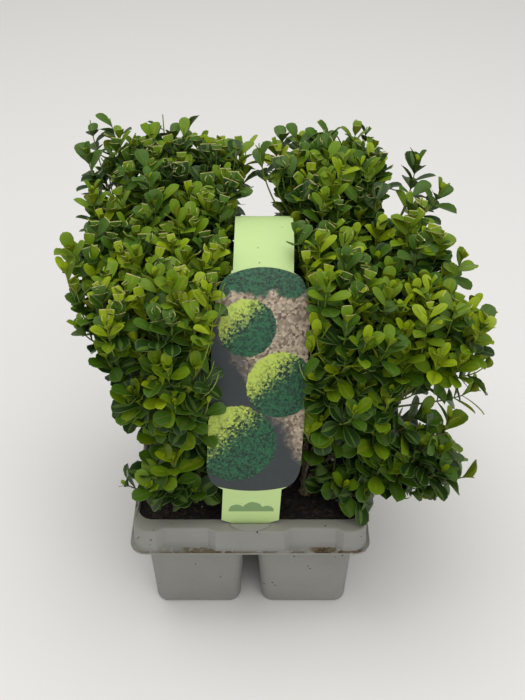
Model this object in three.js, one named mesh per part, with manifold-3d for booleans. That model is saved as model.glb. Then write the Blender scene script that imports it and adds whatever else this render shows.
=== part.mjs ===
// Six young box plants in one plastic tray of two by three cells, with the printed plastic strap that
// arches over them and serves as the handle. Millimetres, +Z up, +Y towards the back of the tray.
import * as THREE from "three";
import { mergeVertices } from "three/addons/utils/BufferGeometryUtils.js";
import Module from "manifold-3d";

const wasm = await Module();
wasm.setup();

// Driving dimensions
const GAP = 0.3; // between neighbouring pieces
const FINEST = 0.04; // shorter edges left by cuts and joins are dropped
const JOINS = [2e-4, 1e-3, 4e-3]; // corners closer than these count as one
const TRAY = { width: 152.5, length: 205, height: 83.5, corner: 11.5, wall: 1.2 };
const SKIRT = { drop: 17.2, inset: 2, draft: 0.7, shoulder: 2.2, lean: 1.54 };
const BASIN = { width: 141.5, length: 176, corner: 9.5, depth: 6, shy: 0.2 };
const CELL = {
  columns: 2,
  rows: 3,
  pitchX: 71,
  pitchY: 60.5,
  width: 65.2,
  length: 55,
  corner: 8,
  taper: 4.4,
  drain: 5,
};
const NOTCH = { width: 32.5, endDepth: 3.2, sideDepth: 1.5, splay: 2.5, frontOffset: 40.2 };
const SLOT = { length: 25, width: 2, inFromEdge: 10.5 };
const LIP = { radius: 13, height: 1.4, reach: 6.5, topShare: 0.86 };
const SOIL = { below: 3, roughness: 2.2, calm: 9, gridX: 10, gridY: 12 };
const STRAP = {
  rise: 160,
  halfSpan: 92,
  lean: 9,
  width: 36,
  panelWidth: 57,
  thickness: 0.6,
  panelFrom: 29,
  panelTo: 165,
  panelBottomRound: 17,
  panelTopRound: 30,
  tabWidth: 23,
  tabDrop: 7,
};
const LEAF = { length: 24, width: 16.5, thickness: 1, widest: 0.58, cup: 1.6, sunk: 0.3, stagger: 0.35 };

// The clipped top rises towards the back, and the left side draws in below the level of spreadFrom.
const CANOPY = {
  left: -116,
  lowLeft: -82,
  spreadFrom: 80,
  spreadTo: 135,
  right: 141,
  front: -108,
  back: 113,
  top: 169,
  slope: 0.17,
  overRim: 2.5,
  belowRim: 10,
};

// Each shoot ends at a tip, given from the middle of the tray's rim plane: across, back and up.
const PLANTS = [
  {
    name: "front_left",
    column: 0,
    row: 0,
    shoots: { outer: [-86, -66, 136], front: [-48, -86, 132], inner: [-38, -46, 144], low: [-54, -90, 34] },
  },
  {
    name: "front_right",
    column: 1,
    row: 0,
    shoots: { outer: [117, -64, 116], front: [52, -82, 130], inner: [43, -42, 142], low: [107, -78, 36] },
  },
  {
    name: "middle_left",
    column: 0,
    row: 1,
    shoots: { outer: [-92, -4, 148], inner: [-34, -8, 150], back: [-60, 22, 153], low: [-66, 2, 60] },
  },
  {
    name: "middle_right",
    column: 1,
    row: 1,
    shoots: { outer: [117, 2, 142], inner: [38, -4, 150], back: [80, 26, 153], low: [92, -6, 66] },
  },
  {
    name: "rear_left",
    column: 0,
    row: 2,
    shoots: { outer: [-96, 66, 158], inner: [-28, 58, 160], back: [-58, 90, 163], low: [-64, 84, 58] },
  },
  {
    name: "rear_right",
    column: 1,
    row: 2,
    shoots: { outer: [106, 56, 152], inner: [31, 56, 160], back: [60, 90, 162], low: [82, 78, 58] },
  },
];

const materials = {
  tray: new THREE.MeshStandardMaterial({ color: 0x8f918c, roughness: 0.62, metalness: 0 }),
  soil: new THREE.MeshStandardMaterial({ color: 0x231a14, roughness: 0.95, metalness: 0 }),
  strap: new THREE.MeshStandardMaterial({ color: 0xb9d98a, roughness: 0.4, metalness: 0 }),
  bark: new THREE.MeshStandardMaterial({ color: 0x6a5a3c, roughness: 0.85, metalness: 0 }),
  foliage: new THREE.MeshStandardMaterial({ color: 0x3f6b22, roughness: 0.45, metalness: 0 }),
};

// A closed geometry becomes a solid once the corners that its faces share are merged.
function solid(geometry) {
  const bare = geometry.clone();
  bare.deleteAttribute("normal");
  bare.deleteAttribute("uv");
  const merged = mergeVertices(bare, 1e-4);
  return new wasm.Manifold(
    new wasm.Mesh({
      numProp: 3,
      vertProperties: merged.attributes.position.array,
      triVerts: new Uint32Array(merged.index.array),
    }),
  );
}

function meshOf(name, shape, material) {
  const cut = shape.getMesh();
  const geometry = new THREE.BufferGeometry();
  geometry.setAttribute("position", new THREE.BufferAttribute(new Float32Array(cut.vertProperties), 3));
  geometry.setIndex(new THREE.BufferAttribute(new Uint32Array(cut.triVerts), 1));
  geometry.computeVertexNormals();
  const mesh = new THREE.Mesh(geometry, material);
  mesh.name = name;
  return mesh;
}

function mapVertices(geometry, place) {
  const position = geometry.attributes.position;
  const v = new THREE.Vector3();
  for (let i = 0; i < position.count; i++) {
    v.fromBufferAttribute(position, i);
    place(v);
    position.setXYZ(i, v.x, v.y, v.z);
  }
  return geometry;
}

// A number from 0 to 1 that depends only on its seeds, so any piece can be worked out by itself.
function chance(a, b = 0, c = 0) {
  const wave = Math.sin(a * 127.1 + b * 311.7 + c * 74.7) * 43758.5453;
  return wave - Math.floor(wave);
}

function smoothStep(from, to, value) {
  const t = Math.min(1, Math.max(0, (value - from) / (to - from)));
  return t * t * (3 - 2 * t);
}

// A block with rounded upright corners. It draws in by insetTop and insetBottom at its two ends.
function roundedBlock({ width, length, corner, bottom, top, insetBottom = 0, insetTop = 0, x = 0, y = 0 }) {
  const a = width / 2;
  const b = length / 2;
  const outline = new THREE.Shape();
  outline.moveTo(a, -b + corner);
  outline.lineTo(a, b - corner);
  outline.absarc(a - corner, b - corner, corner, 0, Math.PI / 2);
  outline.lineTo(-a + corner, b);
  outline.absarc(-a + corner, b - corner, corner, Math.PI / 2, Math.PI);
  outline.lineTo(-a, -b + corner);
  outline.absarc(-a + corner, -b + corner, corner, Math.PI, Math.PI * 1.5);
  outline.lineTo(a - corner, -b);
  outline.absarc(a - corner, -b + corner, corner, Math.PI * 1.5, Math.PI * 2);
  const block = new THREE.ExtrudeGeometry(outline, {
    depth: top - bottom,
    bevelEnabled: false,
    curveSegments: 4,
  });
  mapVertices(block, (v) => {
    const inset = insetBottom + (insetTop - insetBottom) * (v.z / (top - bottom));
    v.x += x - Math.sign(v.x) * inset;
    v.y += y - Math.sign(v.y) * inset;
    v.z += bottom;
  });
  return solid(block);
}

// The tray

const hemLevel = TRAY.height - SKIRT.drop;
const cellCentres = [];
for (let row = 0; row < CELL.rows; row++) {
  for (let column = 0; column < CELL.columns; column++) {
    cellCentres.push({
      x: (column - (CELL.columns - 1) / 2) * CELL.pitchX,
      y: (row - (CELL.rows - 1) / 2) * CELL.pitchY,
    });
  }
}

// The skirt and its rounded shoulder, drawn in by shrink on every side and at the top.
function rimBody(shrink) {
  const width = TRAY.width - 2 * SKIRT.inset - 2 * shrink;
  const length = TRAY.length - 2 * SKIRT.inset - 2 * shrink;
  const corner = TRAY.corner - SKIRT.inset - shrink;
  const shoulderLevel = TRAY.height - SKIRT.shoulder - shrink;
  const bottom = hemLevel - (shrink > 0 ? 1 : 0);
  const skirt = roundedBlock({ width, length, corner, bottom, top: shoulderLevel, insetTop: SKIRT.draft });
  const shoulder = roundedBlock({
    width: width - 2 * SKIRT.draft,
    length: length - 2 * SKIRT.draft,
    corner,
    bottom: shoulderLevel,
    top: TRAY.height - shrink,
    insetTop: SKIRT.lean,
  });
  return skirt.add(shoulder);
}

// The finger notches in the skirt: two on each short side and one beside each cell on the long sides.
function notches(grow) {
  const edgeX = TRAY.width / 2 - SKIRT.inset;
  const edgeY = TRAY.length / 2 - SKIRT.inset;
  const places = [];
  for (const side of [-1, 1]) {
    for (const offset of [-NOTCH.frontOffset, NOTCH.frontOffset]) {
      places.push({ x: offset, y: side * edgeY, turn: side < 0 ? 0 : Math.PI, depth: NOTCH.endDepth });
    }
    for (const { y } of cellCentres.filter((cell) => cell.x > 0)) {
      places.push({ x: side * edgeX, y, turn: (side * Math.PI) / 2, depth: NOTCH.sideDepth });
    }
  }
  const inner = NOTCH.width / 2 - NOTCH.splay + grow;
  const outer = NOTCH.width / 2 + NOTCH.splay + grow;
  return wasm.Manifold.union(
    places.map(({ x, y, turn, depth }) => {
      const outline = new THREE.Shape([
        new THREE.Vector2(-inner, depth + grow),
        new THREE.Vector2(-outer, -NOTCH.endDepth),
        new THREE.Vector2(outer, -NOTCH.endDepth),
        new THREE.Vector2(inner, depth + grow),
      ]);
      const spare = 3;
      const piece = new THREE.ExtrudeGeometry(outline, { depth: SKIRT.drop + 2 * spare, bevelEnabled: false });
      piece.rotateZ(turn);
      piece.translate(x, y, hemLevel - spare);
      return solid(piece);
    }),
  );
}

function cells(shrink, floor, top) {
  return wasm.Manifold.union(
    cellCentres.map(({ x, y }) => {
      const inset = CELL.taper * (1 - floor / (TRAY.height - BASIN.depth));
      return roundedBlock({
        width: CELL.width - 2 * shrink,
        length: CELL.length - 2 * shrink,
        corner: CELL.corner - shrink,
        bottom: floor,
        top,
        insetBottom: inset,
        x,
        y,
      });
    }),
  );
}

function basin(grow, floor, top) {
  return roundedBlock({
    width: BASIN.width + 2 * grow,
    length: BASIN.length + 2 * grow,
    corner: BASIN.corner + grow,
    bottom: floor,
    top,
  });
}

function upright(radius, bottom, top, x, y, sides) {
  const post = new THREE.CylinderGeometry(radius, radius, top - bottom, sides);
  post.rotateX(Math.PI / 2);
  post.translate(x, y, (top + bottom) / 2);
  return solid(post);
}

function slots() {
  const y = TRAY.length / 2 - SLOT.inFromEdge;
  return wasm.Manifold.union(
    [-1, 1].map((side) => {
      const slot = new THREE.BoxGeometry(SLOT.length, SLOT.width, 12);
      slot.translate(0, side * y, TRAY.height);
      return solid(slot);
    }),
  );
}

// A low half-round lip stands in front of each slot and holds the strap's tab.
function lips() {
  const y = TRAY.length / 2 - SLOT.inFromEdge;
  const bottom = TRAY.height - TRAY.wall / 2;
  const top = TRAY.height + LIP.height;
  const flatten = (LIP.reach - SLOT.width / 2) / LIP.radius;
  const half = 2 * LIP.reach;
  return wasm.Manifold.union(
    [-1, 1].map((side) => {
      const disc = new THREE.CylinderGeometry(LIP.radius * LIP.topShare, LIP.radius, top - bottom, 24);
      disc.rotateX(Math.PI / 2);
      disc.scale(1, flatten, 1);
      disc.translate(0, side * (y + SLOT.width / 2), (top + bottom) / 2);
      const keep = new THREE.BoxGeometry(4 * LIP.radius, half, half);
      keep.translate(0, side * (y + SLOT.width / 2 + half / 2), TRAY.height);
      return solid(disc).intersect(solid(keep));
    }),
  );
}

function buildTray() {
  const divider = TRAY.height - BASIN.depth;
  const hollow = rimBody(TRAY.wall).subtract(notches(TRAY.wall));
  const rim = rimBody(0).subtract(notches(0)).subtract(hollow);
  const hem = roundedBlock({
    width: TRAY.width,
    length: TRAY.length,
    corner: TRAY.corner,
    bottom: hemLevel,
    top: hemLevel + TRAY.wall,
  }).subtract(hollow);
  const basinWall = basin(TRAY.wall, divider - TRAY.wall, TRAY.height - BASIN.shy);
  const outside = rim.add(hem).add(basinWall).add(cells(0, 0, divider));
  const drains = wasm.Manifold.union(cellCentres.map(({ x, y }) => upright(CELL.drain, -1, 3, x, y, 12)));
  return outside
    .add(lips())
    .subtract(basin(0, divider, TRAY.height + 5))
    .subtract(cells(TRAY.wall, TRAY.wall, divider + 1))
    .subtract(slots())
    .subtract(drains)
    .simplify(FINEST);
}

// The compost fills the cells and lies over the dividers

const soilLevel = TRAY.height - SOIL.below;

function soilTop(x, y) {
  let lumps = 0;
  for (let k = 1; k <= 3; k++) {
    lumps += Math.sin(x * 0.11 * k + 2.1 * k) * Math.cos(y * 0.13 * k + 1.3 * k);
  }
  const nearest = Math.min(...cellCentres.map((c) => Math.hypot(x - c.x, y - c.y)));
  const calm = smoothStep(SOIL.calm, 2.2 * SOIL.calm, nearest);
  return soilLevel - calm * SOIL.roughness * (0.5 + lumps / 6);
}

function buildSoil() {
  const divider = TRAY.height - BASIN.depth;
  const depth = 8;
  const bed = new THREE.BoxGeometry(BASIN.width, BASIN.length, depth, SOIL.gridX, SOIL.gridY, 1);
  mapVertices(bed, (v) => {
    v.z = v.z > 0 ? soilTop(v.x, v.y) : divider + GAP;
  });
  const layer = solid(bed).intersect(basin(-GAP, divider, TRAY.height));
  return layer.add(cells(TRAY.wall + GAP, TRAY.wall + GAP, divider + 1));
}

// The strap: half an ellipse from slot to slot, measured by its arc length from the front foot

function strapAngles() {
  const steps = 400;
  const lengths = [0];
  for (let i = 1; i <= steps; i++) {
    const a = ((i - 0.5) / steps) * Math.PI;
    const stretch = Math.hypot(STRAP.halfSpan * Math.sin(a), STRAP.rise * Math.cos(a));
    lengths.push(lengths[i - 1] + (stretch * Math.PI) / steps);
  }
  return lengths;
}

const strapLengths = strapAngles();
const strapLength = strapLengths[strapLengths.length - 1];

function strapAngle(along) {
  const steps = strapLengths.length - 1;
  let i = strapLengths.findIndex((length) => length > along);
  if (i < 1) i = along > 0 ? steps : 1;
  const share = (along - strapLengths[i - 1]) / (strapLengths[i] - strapLengths[i - 1]);
  return ((i - 1 + share) / steps) * Math.PI;
}

// The middle line of the strap. Below its feet it runs straight down through the slots.
function strapPoint(along) {
  if (along < 0) return new THREE.Vector3(0, -STRAP.halfSpan, TRAY.height + along);
  if (along > strapLength) return new THREE.Vector3(0, STRAP.halfSpan, TRAY.height + strapLength - along);
  const a = strapAngle(along);
  return new THREE.Vector3(
    STRAP.lean * Math.sin(a),
    -STRAP.halfSpan * Math.cos(a),
    TRAY.height + STRAP.rise * Math.sin(a),
  );
}

function roundEnd(distance, radius) {
  if (distance >= radius) return 1;
  if (distance <= 0) return 0;
  return Math.sqrt(1 - (1 - distance / radius) ** 2);
}

function strapHalfWidth(along) {
  const inside = Math.min(along, strapLength - along);
  if (inside < 1) return STRAP.tabWidth / 2;
  const swell = Math.min(
    roundEnd(along - STRAP.panelFrom, STRAP.panelBottomRound),
    roundEnd(STRAP.panelTo - along, STRAP.panelTopRound),
  );
  return STRAP.width / 2 + (swell * (STRAP.panelWidth - STRAP.width)) / 2;
}

function buildStrap(grow = 0) {
  const stops = [-STRAP.tabDrop, -1, 0.99, 1.01];
  const step = 5;
  for (let s = step; s < strapLength - step / 2; s += step) stops.push(s);
  stops.push(strapLength - 1.01, strapLength - 0.99, strapLength + 1, strapLength + STRAP.tabDrop);
  const ribbon = new THREE.BoxGeometry(1, stops.length - 1, 1, 1, stops.length - 1, 1);
  mapVertices(ribbon, (v) => {
    const along = stops[Math.round(v.y + (stops.length - 1) / 2)];
    const middle = strapPoint(along);
    const ahead = strapPoint(along + 0.5).sub(strapPoint(along - 0.5));
    const outward = new THREE.Vector3(0, -ahead.z, ahead.y).normalize();
    const across = v.x * 2 * (strapHalfWidth(along) + grow);
    const proud = v.z * (STRAP.thickness + 2 * grow);
    v.set(middle.x + across, middle.y + outward.y * proud, middle.z + outward.z * proud);
  });
  return solid(ribbon);
}

// Stems, boughs and the leaf masses

const up = new THREE.Vector3(0, 0, 1);

function plantCentre(plant) {
  return new THREE.Vector3(
    (plant.column - (CELL.columns - 1) / 2) * CELL.pitchX,
    (plant.row - (CELL.rows - 1) / 2) * CELL.pitchY,
    soilLevel + GAP,
  );
}

const STEM = { height: 11, foot: 4.2, waist: 3.1, top: 3.4, sides: 8, rings: 5, bowX: 0.6, bowY: -0.4 };
const BOUGH = { start: 1.3, end: 1.15, length: 26, ring: 2.1, sides: 6, rise: 8 };
const LOW = { height: 0.6, reach: 14 };
const TWIG = {
  leader: 1.1,
  leaderTip: 0.7,
  side: 0.85,
  sideTip: 0.55,
  reach: 40,
  angle: 0.9,
  apart: 60,
  least: 10,
  forTwoPairs: 24,
};

// A closed skin along a stretch of a curve, at the radius that radiusAt gives for each way out.
function sweep(curve, [from, to], sides, steps, radiusAt) {
  const tube = new THREE.CylinderGeometry(1, 1, 1, sides, steps);
  const rings = [];
  let side = Math.abs(curve.getTangentAt(from).x) < 0.9 ? new THREE.Vector3(1, 0, 0) : new THREE.Vector3(0, 1, 0);
  for (let k = 0; k <= steps; k++) {
    const share = Math.min(1, from + ((to - from) * k) / steps);
    const ahead = curve.getTangentAt(share);
    side = side.clone().addScaledVector(ahead, -side.dot(ahead)).normalize();
    rings.push({ at: curve.getPointAt(share), side, other: ahead.clone().cross(side) });
  }
  mapVertices(tube, (v) => {
    const rank = Math.round((v.y + 0.5) * steps) / steps;
    const ring = rings[Math.round(rank * steps)];
    const outward = ring.side.clone().multiplyScalar(v.x).addScaledVector(ring.other, -v.z);
    const radius = outward.length() > 0.5 ? radiusAt(ring.at, outward, rank) : 0;
    v.copy(ring.at).addScaledVector(outward, radius);
  });
  return solid(tube);
}

// A limb's section shrinks from one radius to another.
function limb(curve, stretch, [thick, thin], sides, steps) {
  return sweep(curve, stretch, sides, steps, (at, outward, rank) => thick + (thin - thick) * rank);
}

function buildStem(plant) {
  const foot = plantCentre(plant);
  const middle = foot.clone().add(new THREE.Vector3(STEM.bowX, STEM.bowY, STEM.height / 2));
  const top = foot.clone().add(new THREE.Vector3(0, 0, STEM.height));
  const curve = new THREE.QuadraticBezierCurve3(foot, middle, top);
  const tube = new THREE.CylinderGeometry(1, 1, 1, STEM.sides, STEM.rings);
  const frames = curve.computeFrenetFrames(STEM.rings, false);
  mapVertices(tube, (v) => {
    const share = v.y + 0.5;
    const k = Math.round(share * STEM.rings);
    const flare = (STEM.foot - STEM.waist) * (1 - share) ** 3;
    const crown = (STEM.top - STEM.waist) * share ** 4;
    const radius = STEM.waist + flare + crown;
    const point = curve.getPoint(share);
    point.addScaledVector(frames.normals[k], v.x * radius);
    point.addScaledVector(frames.binormals[k], -v.z * radius);
    if (k === 0) point.z = foot.z;
    if (k === STEM.rings) point.z = top.z;
    v.copy(point);
  });
  return solid(tube);
}

// The way that a shoot leans, seen from above.
function headingOf(plant, name) {
  const centre = plantCentre(plant);
  const [x, y] = plant.shoots[name];
  return Math.atan2(y - centre.y, x - centre.x);
}

// The boughs stand in a ring on the stem's top, in the order and as near as can be to the way they lean.
function boughTurns(plant) {
  const names = Object.keys(plant.shoots).filter((name) => name !== "low");
  names.sort((a, b) => headingOf(plant, a) - headingOf(plant, b));
  const apart = (2 * Math.PI) / names.length;
  let x = 0;
  let y = 0;
  names.forEach((name, k) => {
    x += Math.cos(headingOf(plant, name) - k * apart);
    y += Math.sin(headingOf(plant, name) - k * apart);
  });
  return new Map(names.map((name, k) => [name, Math.atan2(y, x) + k * apart]));
}

// A bough starts upright on the stem's top and leans out to its tip. A low shoot leaves the stem's side.
function shootCurve(plant, name) {
  const tip = new THREE.Vector3(...plant.shoots[name]).add(new THREE.Vector3(0, 0, TRAY.height));
  const low = name === "low";
  const turn = low ? headingOf(plant, name) : boughTurns(plant).get(name);
  const outward = new THREE.Vector3(Math.cos(turn), Math.sin(turn), 0);
  const start = plantCentre(plant).addScaledVector(outward, low ? STEM.top + GAP : BOUGH.ring);
  start.z += low ? STEM.height * LOW.height : STEM.height + GAP;
  const leaving = start.clone().addScaledVector(low ? outward : up, low ? LOW.reach : BOUGH.rise);
  const bend = new THREE.Vector3().lerpVectors(start, tip, 0.62);
  bend.z = start.z + (low ? 0.35 : 0.5) * (tip.z - start.z);
  return new THREE.CubicBezierCurve3(start, leaving, bend, tip);
}

const shoots = [];
PLANTS.forEach((plant, p) => {
  Object.keys(plant.shoots).forEach((name, index) => {
    const curve = shootCurve(plant, name);
    const end = name === "low" ? 0 : BOUGH.length / curve.getLength();
    const fork = name === "low" ? 0 : end + GAP / curve.getLength();
    const shoot = {
      name: plant.name + "_" + name,
      seed: p * 10 + index + 1,
      curve,
      line: curve.getPoints(10),
      leafy: [fork, 1],
      leader: limb(curve, [fork, 1], [TWIG.leader, TWIG.leaderTip], 3, 3),
      guards: [limb(curve, [fork, 1], [TWIG.leader + 2 * GAP, TWIG.leaderTip + 2 * GAP], 3, 3)],
    };
    if (end > 0) {
      shoot.bough = limb(curve, [0, end], [BOUGH.start, BOUGH.end], BOUGH.sides, 4);
      shoot.guards.push(limb(curve, [0, end], [BOUGH.start + 2 * GAP, BOUGH.end + 2 * GAP], BOUGH.sides, 4));
    }
    shoots.push(shoot);
  });
});
const boughs = shoots.filter((shoot) => shoot.bough);

const segment = new THREE.Line3();
const nearest = new THREE.Vector3();

function distanceTo(line, point) {
  let least = Infinity;
  for (let i = 1; i < line.length; i++) {
    segment.set(line[i - 1], line[i]).closestPointToPoint(point, true, nearest);
    least = Math.min(least, nearest.distanceTo(point));
  }
  return least;
}

// The aisle between the two rows, under the crest of the strap, stays free of leaves. A hand goes in there.
const AISLE = { width: 44, length: 124, bottom: -2, top: 158, offCentre: 8.1 };

function handRoom() {
  const height = AISLE.top - AISLE.bottom;
  const room = new THREE.BoxGeometry(AISLE.width + 2 * GAP, AISLE.length + 2 * GAP, height + 2 * GAP);
  room.translate(AISLE.offCentre, 0, TRAY.height + AISLE.bottom + height / 2);
  return solid(room);
}

// A mass keeps the room that is nearer to its own shoot than to any other, inside the clipped canopy.
function hasRoom(owner, point) {
  const own = distanceTo(owner.line, point);
  if (shoots.some((other) => other !== owner && distanceTo(other.line, point) < own)) return false;
  const height = point.z - TRAY.height;
  if (height > CANOPY.top + CANOPY.slope * point.y) return false;
  const overTray = Math.abs(point.x) < TRAY.width / 2 + 2 && Math.abs(point.y) < TRAY.length / 2 + 2;
  if (height < (overTray ? CANOPY.overRim : -CANOPY.belowRim)) return false;
  const spread = smoothStep(CANOPY.spreadFrom, CANOPY.spreadTo, height);
  const left = CANOPY.lowLeft + (CANOPY.left - CANOPY.lowLeft) * spread;
  if (point.x < left || point.x > CANOPY.right) return false;
  if (point.y < CANOPY.front || point.y > CANOPY.back) return false;
  return true;
}

function allHaveRoom(owner, points) {
  return points.every((point) => hasRoom(owner, point));
}

function isClear(piece, taken) {
  const a = piece.boundingBox();
  return taken.every((other) => {
    const b = other.boundingBox();
    const apart = [0, 1, 2].some((k) => a.max[k] < b.min[k] || b.max[k] < a.min[k]);
    return apart || piece.intersect(other).isEmpty();
  });
}

// The dense heart of a mass goes part of the way from its leader to the sides of its room, and tapers
// to both ends.
const CORE = { rings: 4, sides: 6, reach: 18, step: 2, fill: 0.55, start: 0.06, end: 0.9, least: 1.5 };

function coreSolid(owner, keptFree) {
  const start = owner.leafy[0] + CORE.start;
  const heart = sweep(owner.curve, [start, CORE.end], CORE.sides, CORE.rings, (at, outward, rank) => {
    let reach = 0;
    while (reach < CORE.reach && hasRoom(owner, at.clone().addScaledVector(outward, reach + CORE.step))) {
      reach += CORE.step;
    }
    const uneven = 0.85 + 0.3 * chance(owner.seed, outward.x, rank);
    return CORE.least + reach * CORE.fill * uneven * Math.sin(Math.PI * (0.06 + 0.88 * rank));
  });
  const guards = shoots.filter((other) => other !== owner).flatMap((other) => other.guards);
  const cut = heart.subtract(wasm.Manifold.union([...keptFree, ...guards]));
  return largest(cut.decompose());
}

function largest(bodies) {
  return bodies.reduce((most, body) => (body.volume() > most.volume() ? body : most));
}

// A leaf of eight faces: its root in the twig, its widest place past the middle, its sides lifted a little.
// Swell makes it larger all round, for finding out what it would touch.
function leafCorners(root, along, facing, scale, swell = 0) {
  const side = new THREE.Vector3().crossVectors(facing, along).normalize();
  const length = LEAF.length * scale;
  const halfWidth = (LEAF.width * scale) / 2 + swell;
  const widest = LEAF.widest * length;
  const at = (u, v, w) =>
    root.clone().addScaledVector(along, u).addScaledVector(side, v).addScaledVector(facing, w);
  return {
    root: at(-LEAF.sunk, 0, 0),
    tip: at(length + swell, 0, -LEAF.cup * 0.6),
    left: at(widest, halfWidth, LEAF.cup),
    right: at(widest, -halfWidth, LEAF.cup),
    above: at(widest * 0.92, 0, LEAF.thickness * 0.6 + swell),
    below: at(widest * 0.92, 0, -LEAF.thickness * 0.4 - swell),
  };
}

function leafSolid(c) {
  const blade = new THREE.OctahedronGeometry(1);
  mapVertices(blade, (v) => {
    if (v.x > 0.5) v.copy(c.tip);
    else if (v.x < -0.5) v.copy(c.root);
    else if (v.y > 0.5) v.copy(c.left);
    else if (v.y < -0.5) v.copy(c.right);
    else v.copy(v.z > 0 ? c.above : c.below);
  });
  return solid(blade);
}

// Two leaves stand opposite each other at a place on a twig.
function leafPair(owner, taken, place, ahead, roll, spread, scale, parts) {
  const across = Math.abs(ahead.z) > 0.9 ? new THREE.Vector3(1, 0, 0) : up;
  const sideways = new THREE.Vector3().crossVectors(ahead, across).normalize().applyAxisAngle(ahead, roll);
  for (const hand of [1, -1]) {
    const out = sideways.clone().multiplyScalar(hand);
    const along = ahead.clone().multiplyScalar(Math.cos(spread)).addScaledVector(out, Math.sin(spread));
    const facing = ahead.clone().multiplyScalar(Math.sin(spread)).addScaledVector(out, -Math.cos(spread));
    const root = place.clone().addScaledVector(ahead, hand * LEAF.stagger);
    const c = leafCorners(root, along, facing, scale);
    if (!allHaveRoom(owner, [c.tip, c.left, c.right])) continue;
    if (!isClear(leafSolid(leafCorners(root, along, facing, scale, GAP)), taken)) continue;
    parts.push(leafSolid(c));
  }
}

// A side twig leaves the leader at an angle and bends up. Its steps are the same wherever it is worked out.
function twigLine(start, ahead, length) {
  const steps = 4;
  const line = [start.clone()];
  const heading = ahead.clone();
  for (let i = 0; i < steps; i++) {
    line.push(line[i].clone().addScaledVector(heading, length / steps));
    heading.addScaledVector(up, 0.2).normalize();
  }
  return line;
}

function sideTwig(shoot, rank, hand) {
  const share = shoot.leafy[0] + 0.02 + (0.9 - shoot.leafy[0]) * rank;
  const place = shoot.curve.getPointAt(share);
  const ahead = shoot.curve.getTangentAt(share);
  const roll = rank * 4.71 + chance(shoot.seed, rank) * 0.9 + (hand < 0 ? Math.PI : 0);
  const sideways = new THREE.Vector3(1, 0, 0).addScaledVector(ahead, -ahead.x).normalize();
  sideways.applyAxisAngle(ahead, roll);
  const angle = TWIG.angle + (chance(shoot.seed, rank, hand) - 0.5) * 0.3;
  const heading = ahead.clone().multiplyScalar(Math.cos(angle)).addScaledVector(sideways, Math.sin(angle));
  const length = TWIG.reach * (1.05 - 0.45 * share) * (0.75 + 0.4 * chance(shoot.seed, rank, hand + 5));
  return { place, heading: heading.normalize(), length, roll };
}

// True where two leaves or twigs only just meet along an edge, which leaves no thickness there. Corners in
// one cell of a grid count as one, and each grid is tried again half a cell over.
function skinsTouch(shape) {
  const { vertProperties, triVerts } = shape.getMesh();
  const meetsIn = (cell, shift) => {
    const placeOf = (i) => [0, 1, 2].map((k) => Math.round(vertProperties[3 * i + k] / cell + shift)).join();
    const uses = new Map();
    for (let i = 0; i < triVerts.length; i += 3) {
      const corners = [0, 1, 2].map((k) => placeOf(triVerts[i + k]));
      if (new Set(corners).size < 3) continue;
      for (let k = 0; k < 3; k++) {
        const edge = [corners[k], corners[(k + 1) % 3]].sort().join(" ");
        uses.set(edge, (uses.get(edge) || 0) + 1);
      }
    }
    return [...uses.values()].some((count) => count > 2);
  };
  return JOINS.some((cell) => meetsIn(cell, 0) || meetsIn(cell, 0.5));
}

// A mass is grown again from another seed until no skins in it only just touch.
function buildMass(shoot, taken) {
  let mass = growMass(shoot, taken);
  for (let again = 0; again < 5 && skinsTouch(mass); again++) {
    shoot.seed += 100;
    mass = growMass(shoot, taken);
  }
  return mass;
}

function growMass(shoot, taken) {
  const parts = [shoot.leader, shoot.core];
  const leafyLength = (1 - shoot.leafy[0]) * shoot.curve.getLength();
  const places = Math.max(1, Math.round(leafyLength / TWIG.apart));
  for (let k = 0; k <= places; k++) {
    for (const hand of [1, -1]) {
      const twig = sideTwig(shoot, k / places, hand);
      for (let length = twig.length; length > TWIG.least; length *= 0.8) {
        const line = twigLine(twig.place, twig.heading, length);
        const curve = new THREE.CatmullRomCurve3(line);
        const guard = limb(curve, [0, 1], [TWIG.side + GAP, TWIG.sideTip + GAP], 3, 2);
        if (!allHaveRoom(shoot, line.slice(1)) || !isClear(guard, taken)) continue;
        parts.push(limb(curve, [0, 1], [TWIG.side, TWIG.sideTip], 3, 2));
        for (const share of length > TWIG.forTwoPairs ? [0.5, 0.93] : [0.93]) {
          const scale = 0.85 + 0.3 * chance(shoot.seed, k, share);
          const roll = twig.roll + (share > 0.6 ? Math.PI / 2 : 0);
          leafPair(shoot, taken, curve.getPointAt(share), curve.getTangentAt(share), roll, 0.95, scale, parts);
        }
        break;
      }
    }
  }
  for (const rank of [0.25, 0.5, 0.75, 0.97]) {
    const share = shoot.leafy[0] + (1 - shoot.leafy[0]) * rank;
    const roll = rank * 20 + chance(shoot.seed, rank);
    const place = shoot.curve.getPointAt(share);
    leafPair(shoot, taken, place, shoot.curve.getTangentAt(share), roll, 0.85, 1, parts);
  }
  return largest(wasm.Manifold.union(parts).simplify(FINEST).decompose());
}

const tray = buildTray();
const compost = buildSoil();
const strap = buildStrap();
const stems = PLANTS.map(buildStem);

const pack = new THREE.Group();
pack.add(meshOf("tray", tray, materials.tray));
pack.add(meshOf("compost", compost, materials.soil));
pack.add(meshOf("strap", strap, materials.strap));
PLANTS.forEach((plant, p) => pack.add(meshOf("stem_" + plant.name, stems[p], materials.bark)));
for (const shoot of boughs) pack.add(meshOf("bough_" + shoot.name, shoot.bough, materials.bark));

const keptFree = [buildStrap(2 * GAP), handRoom()];
for (const shoot of shoots) shoot.core = coreSolid(shoot, keptFree);

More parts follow.
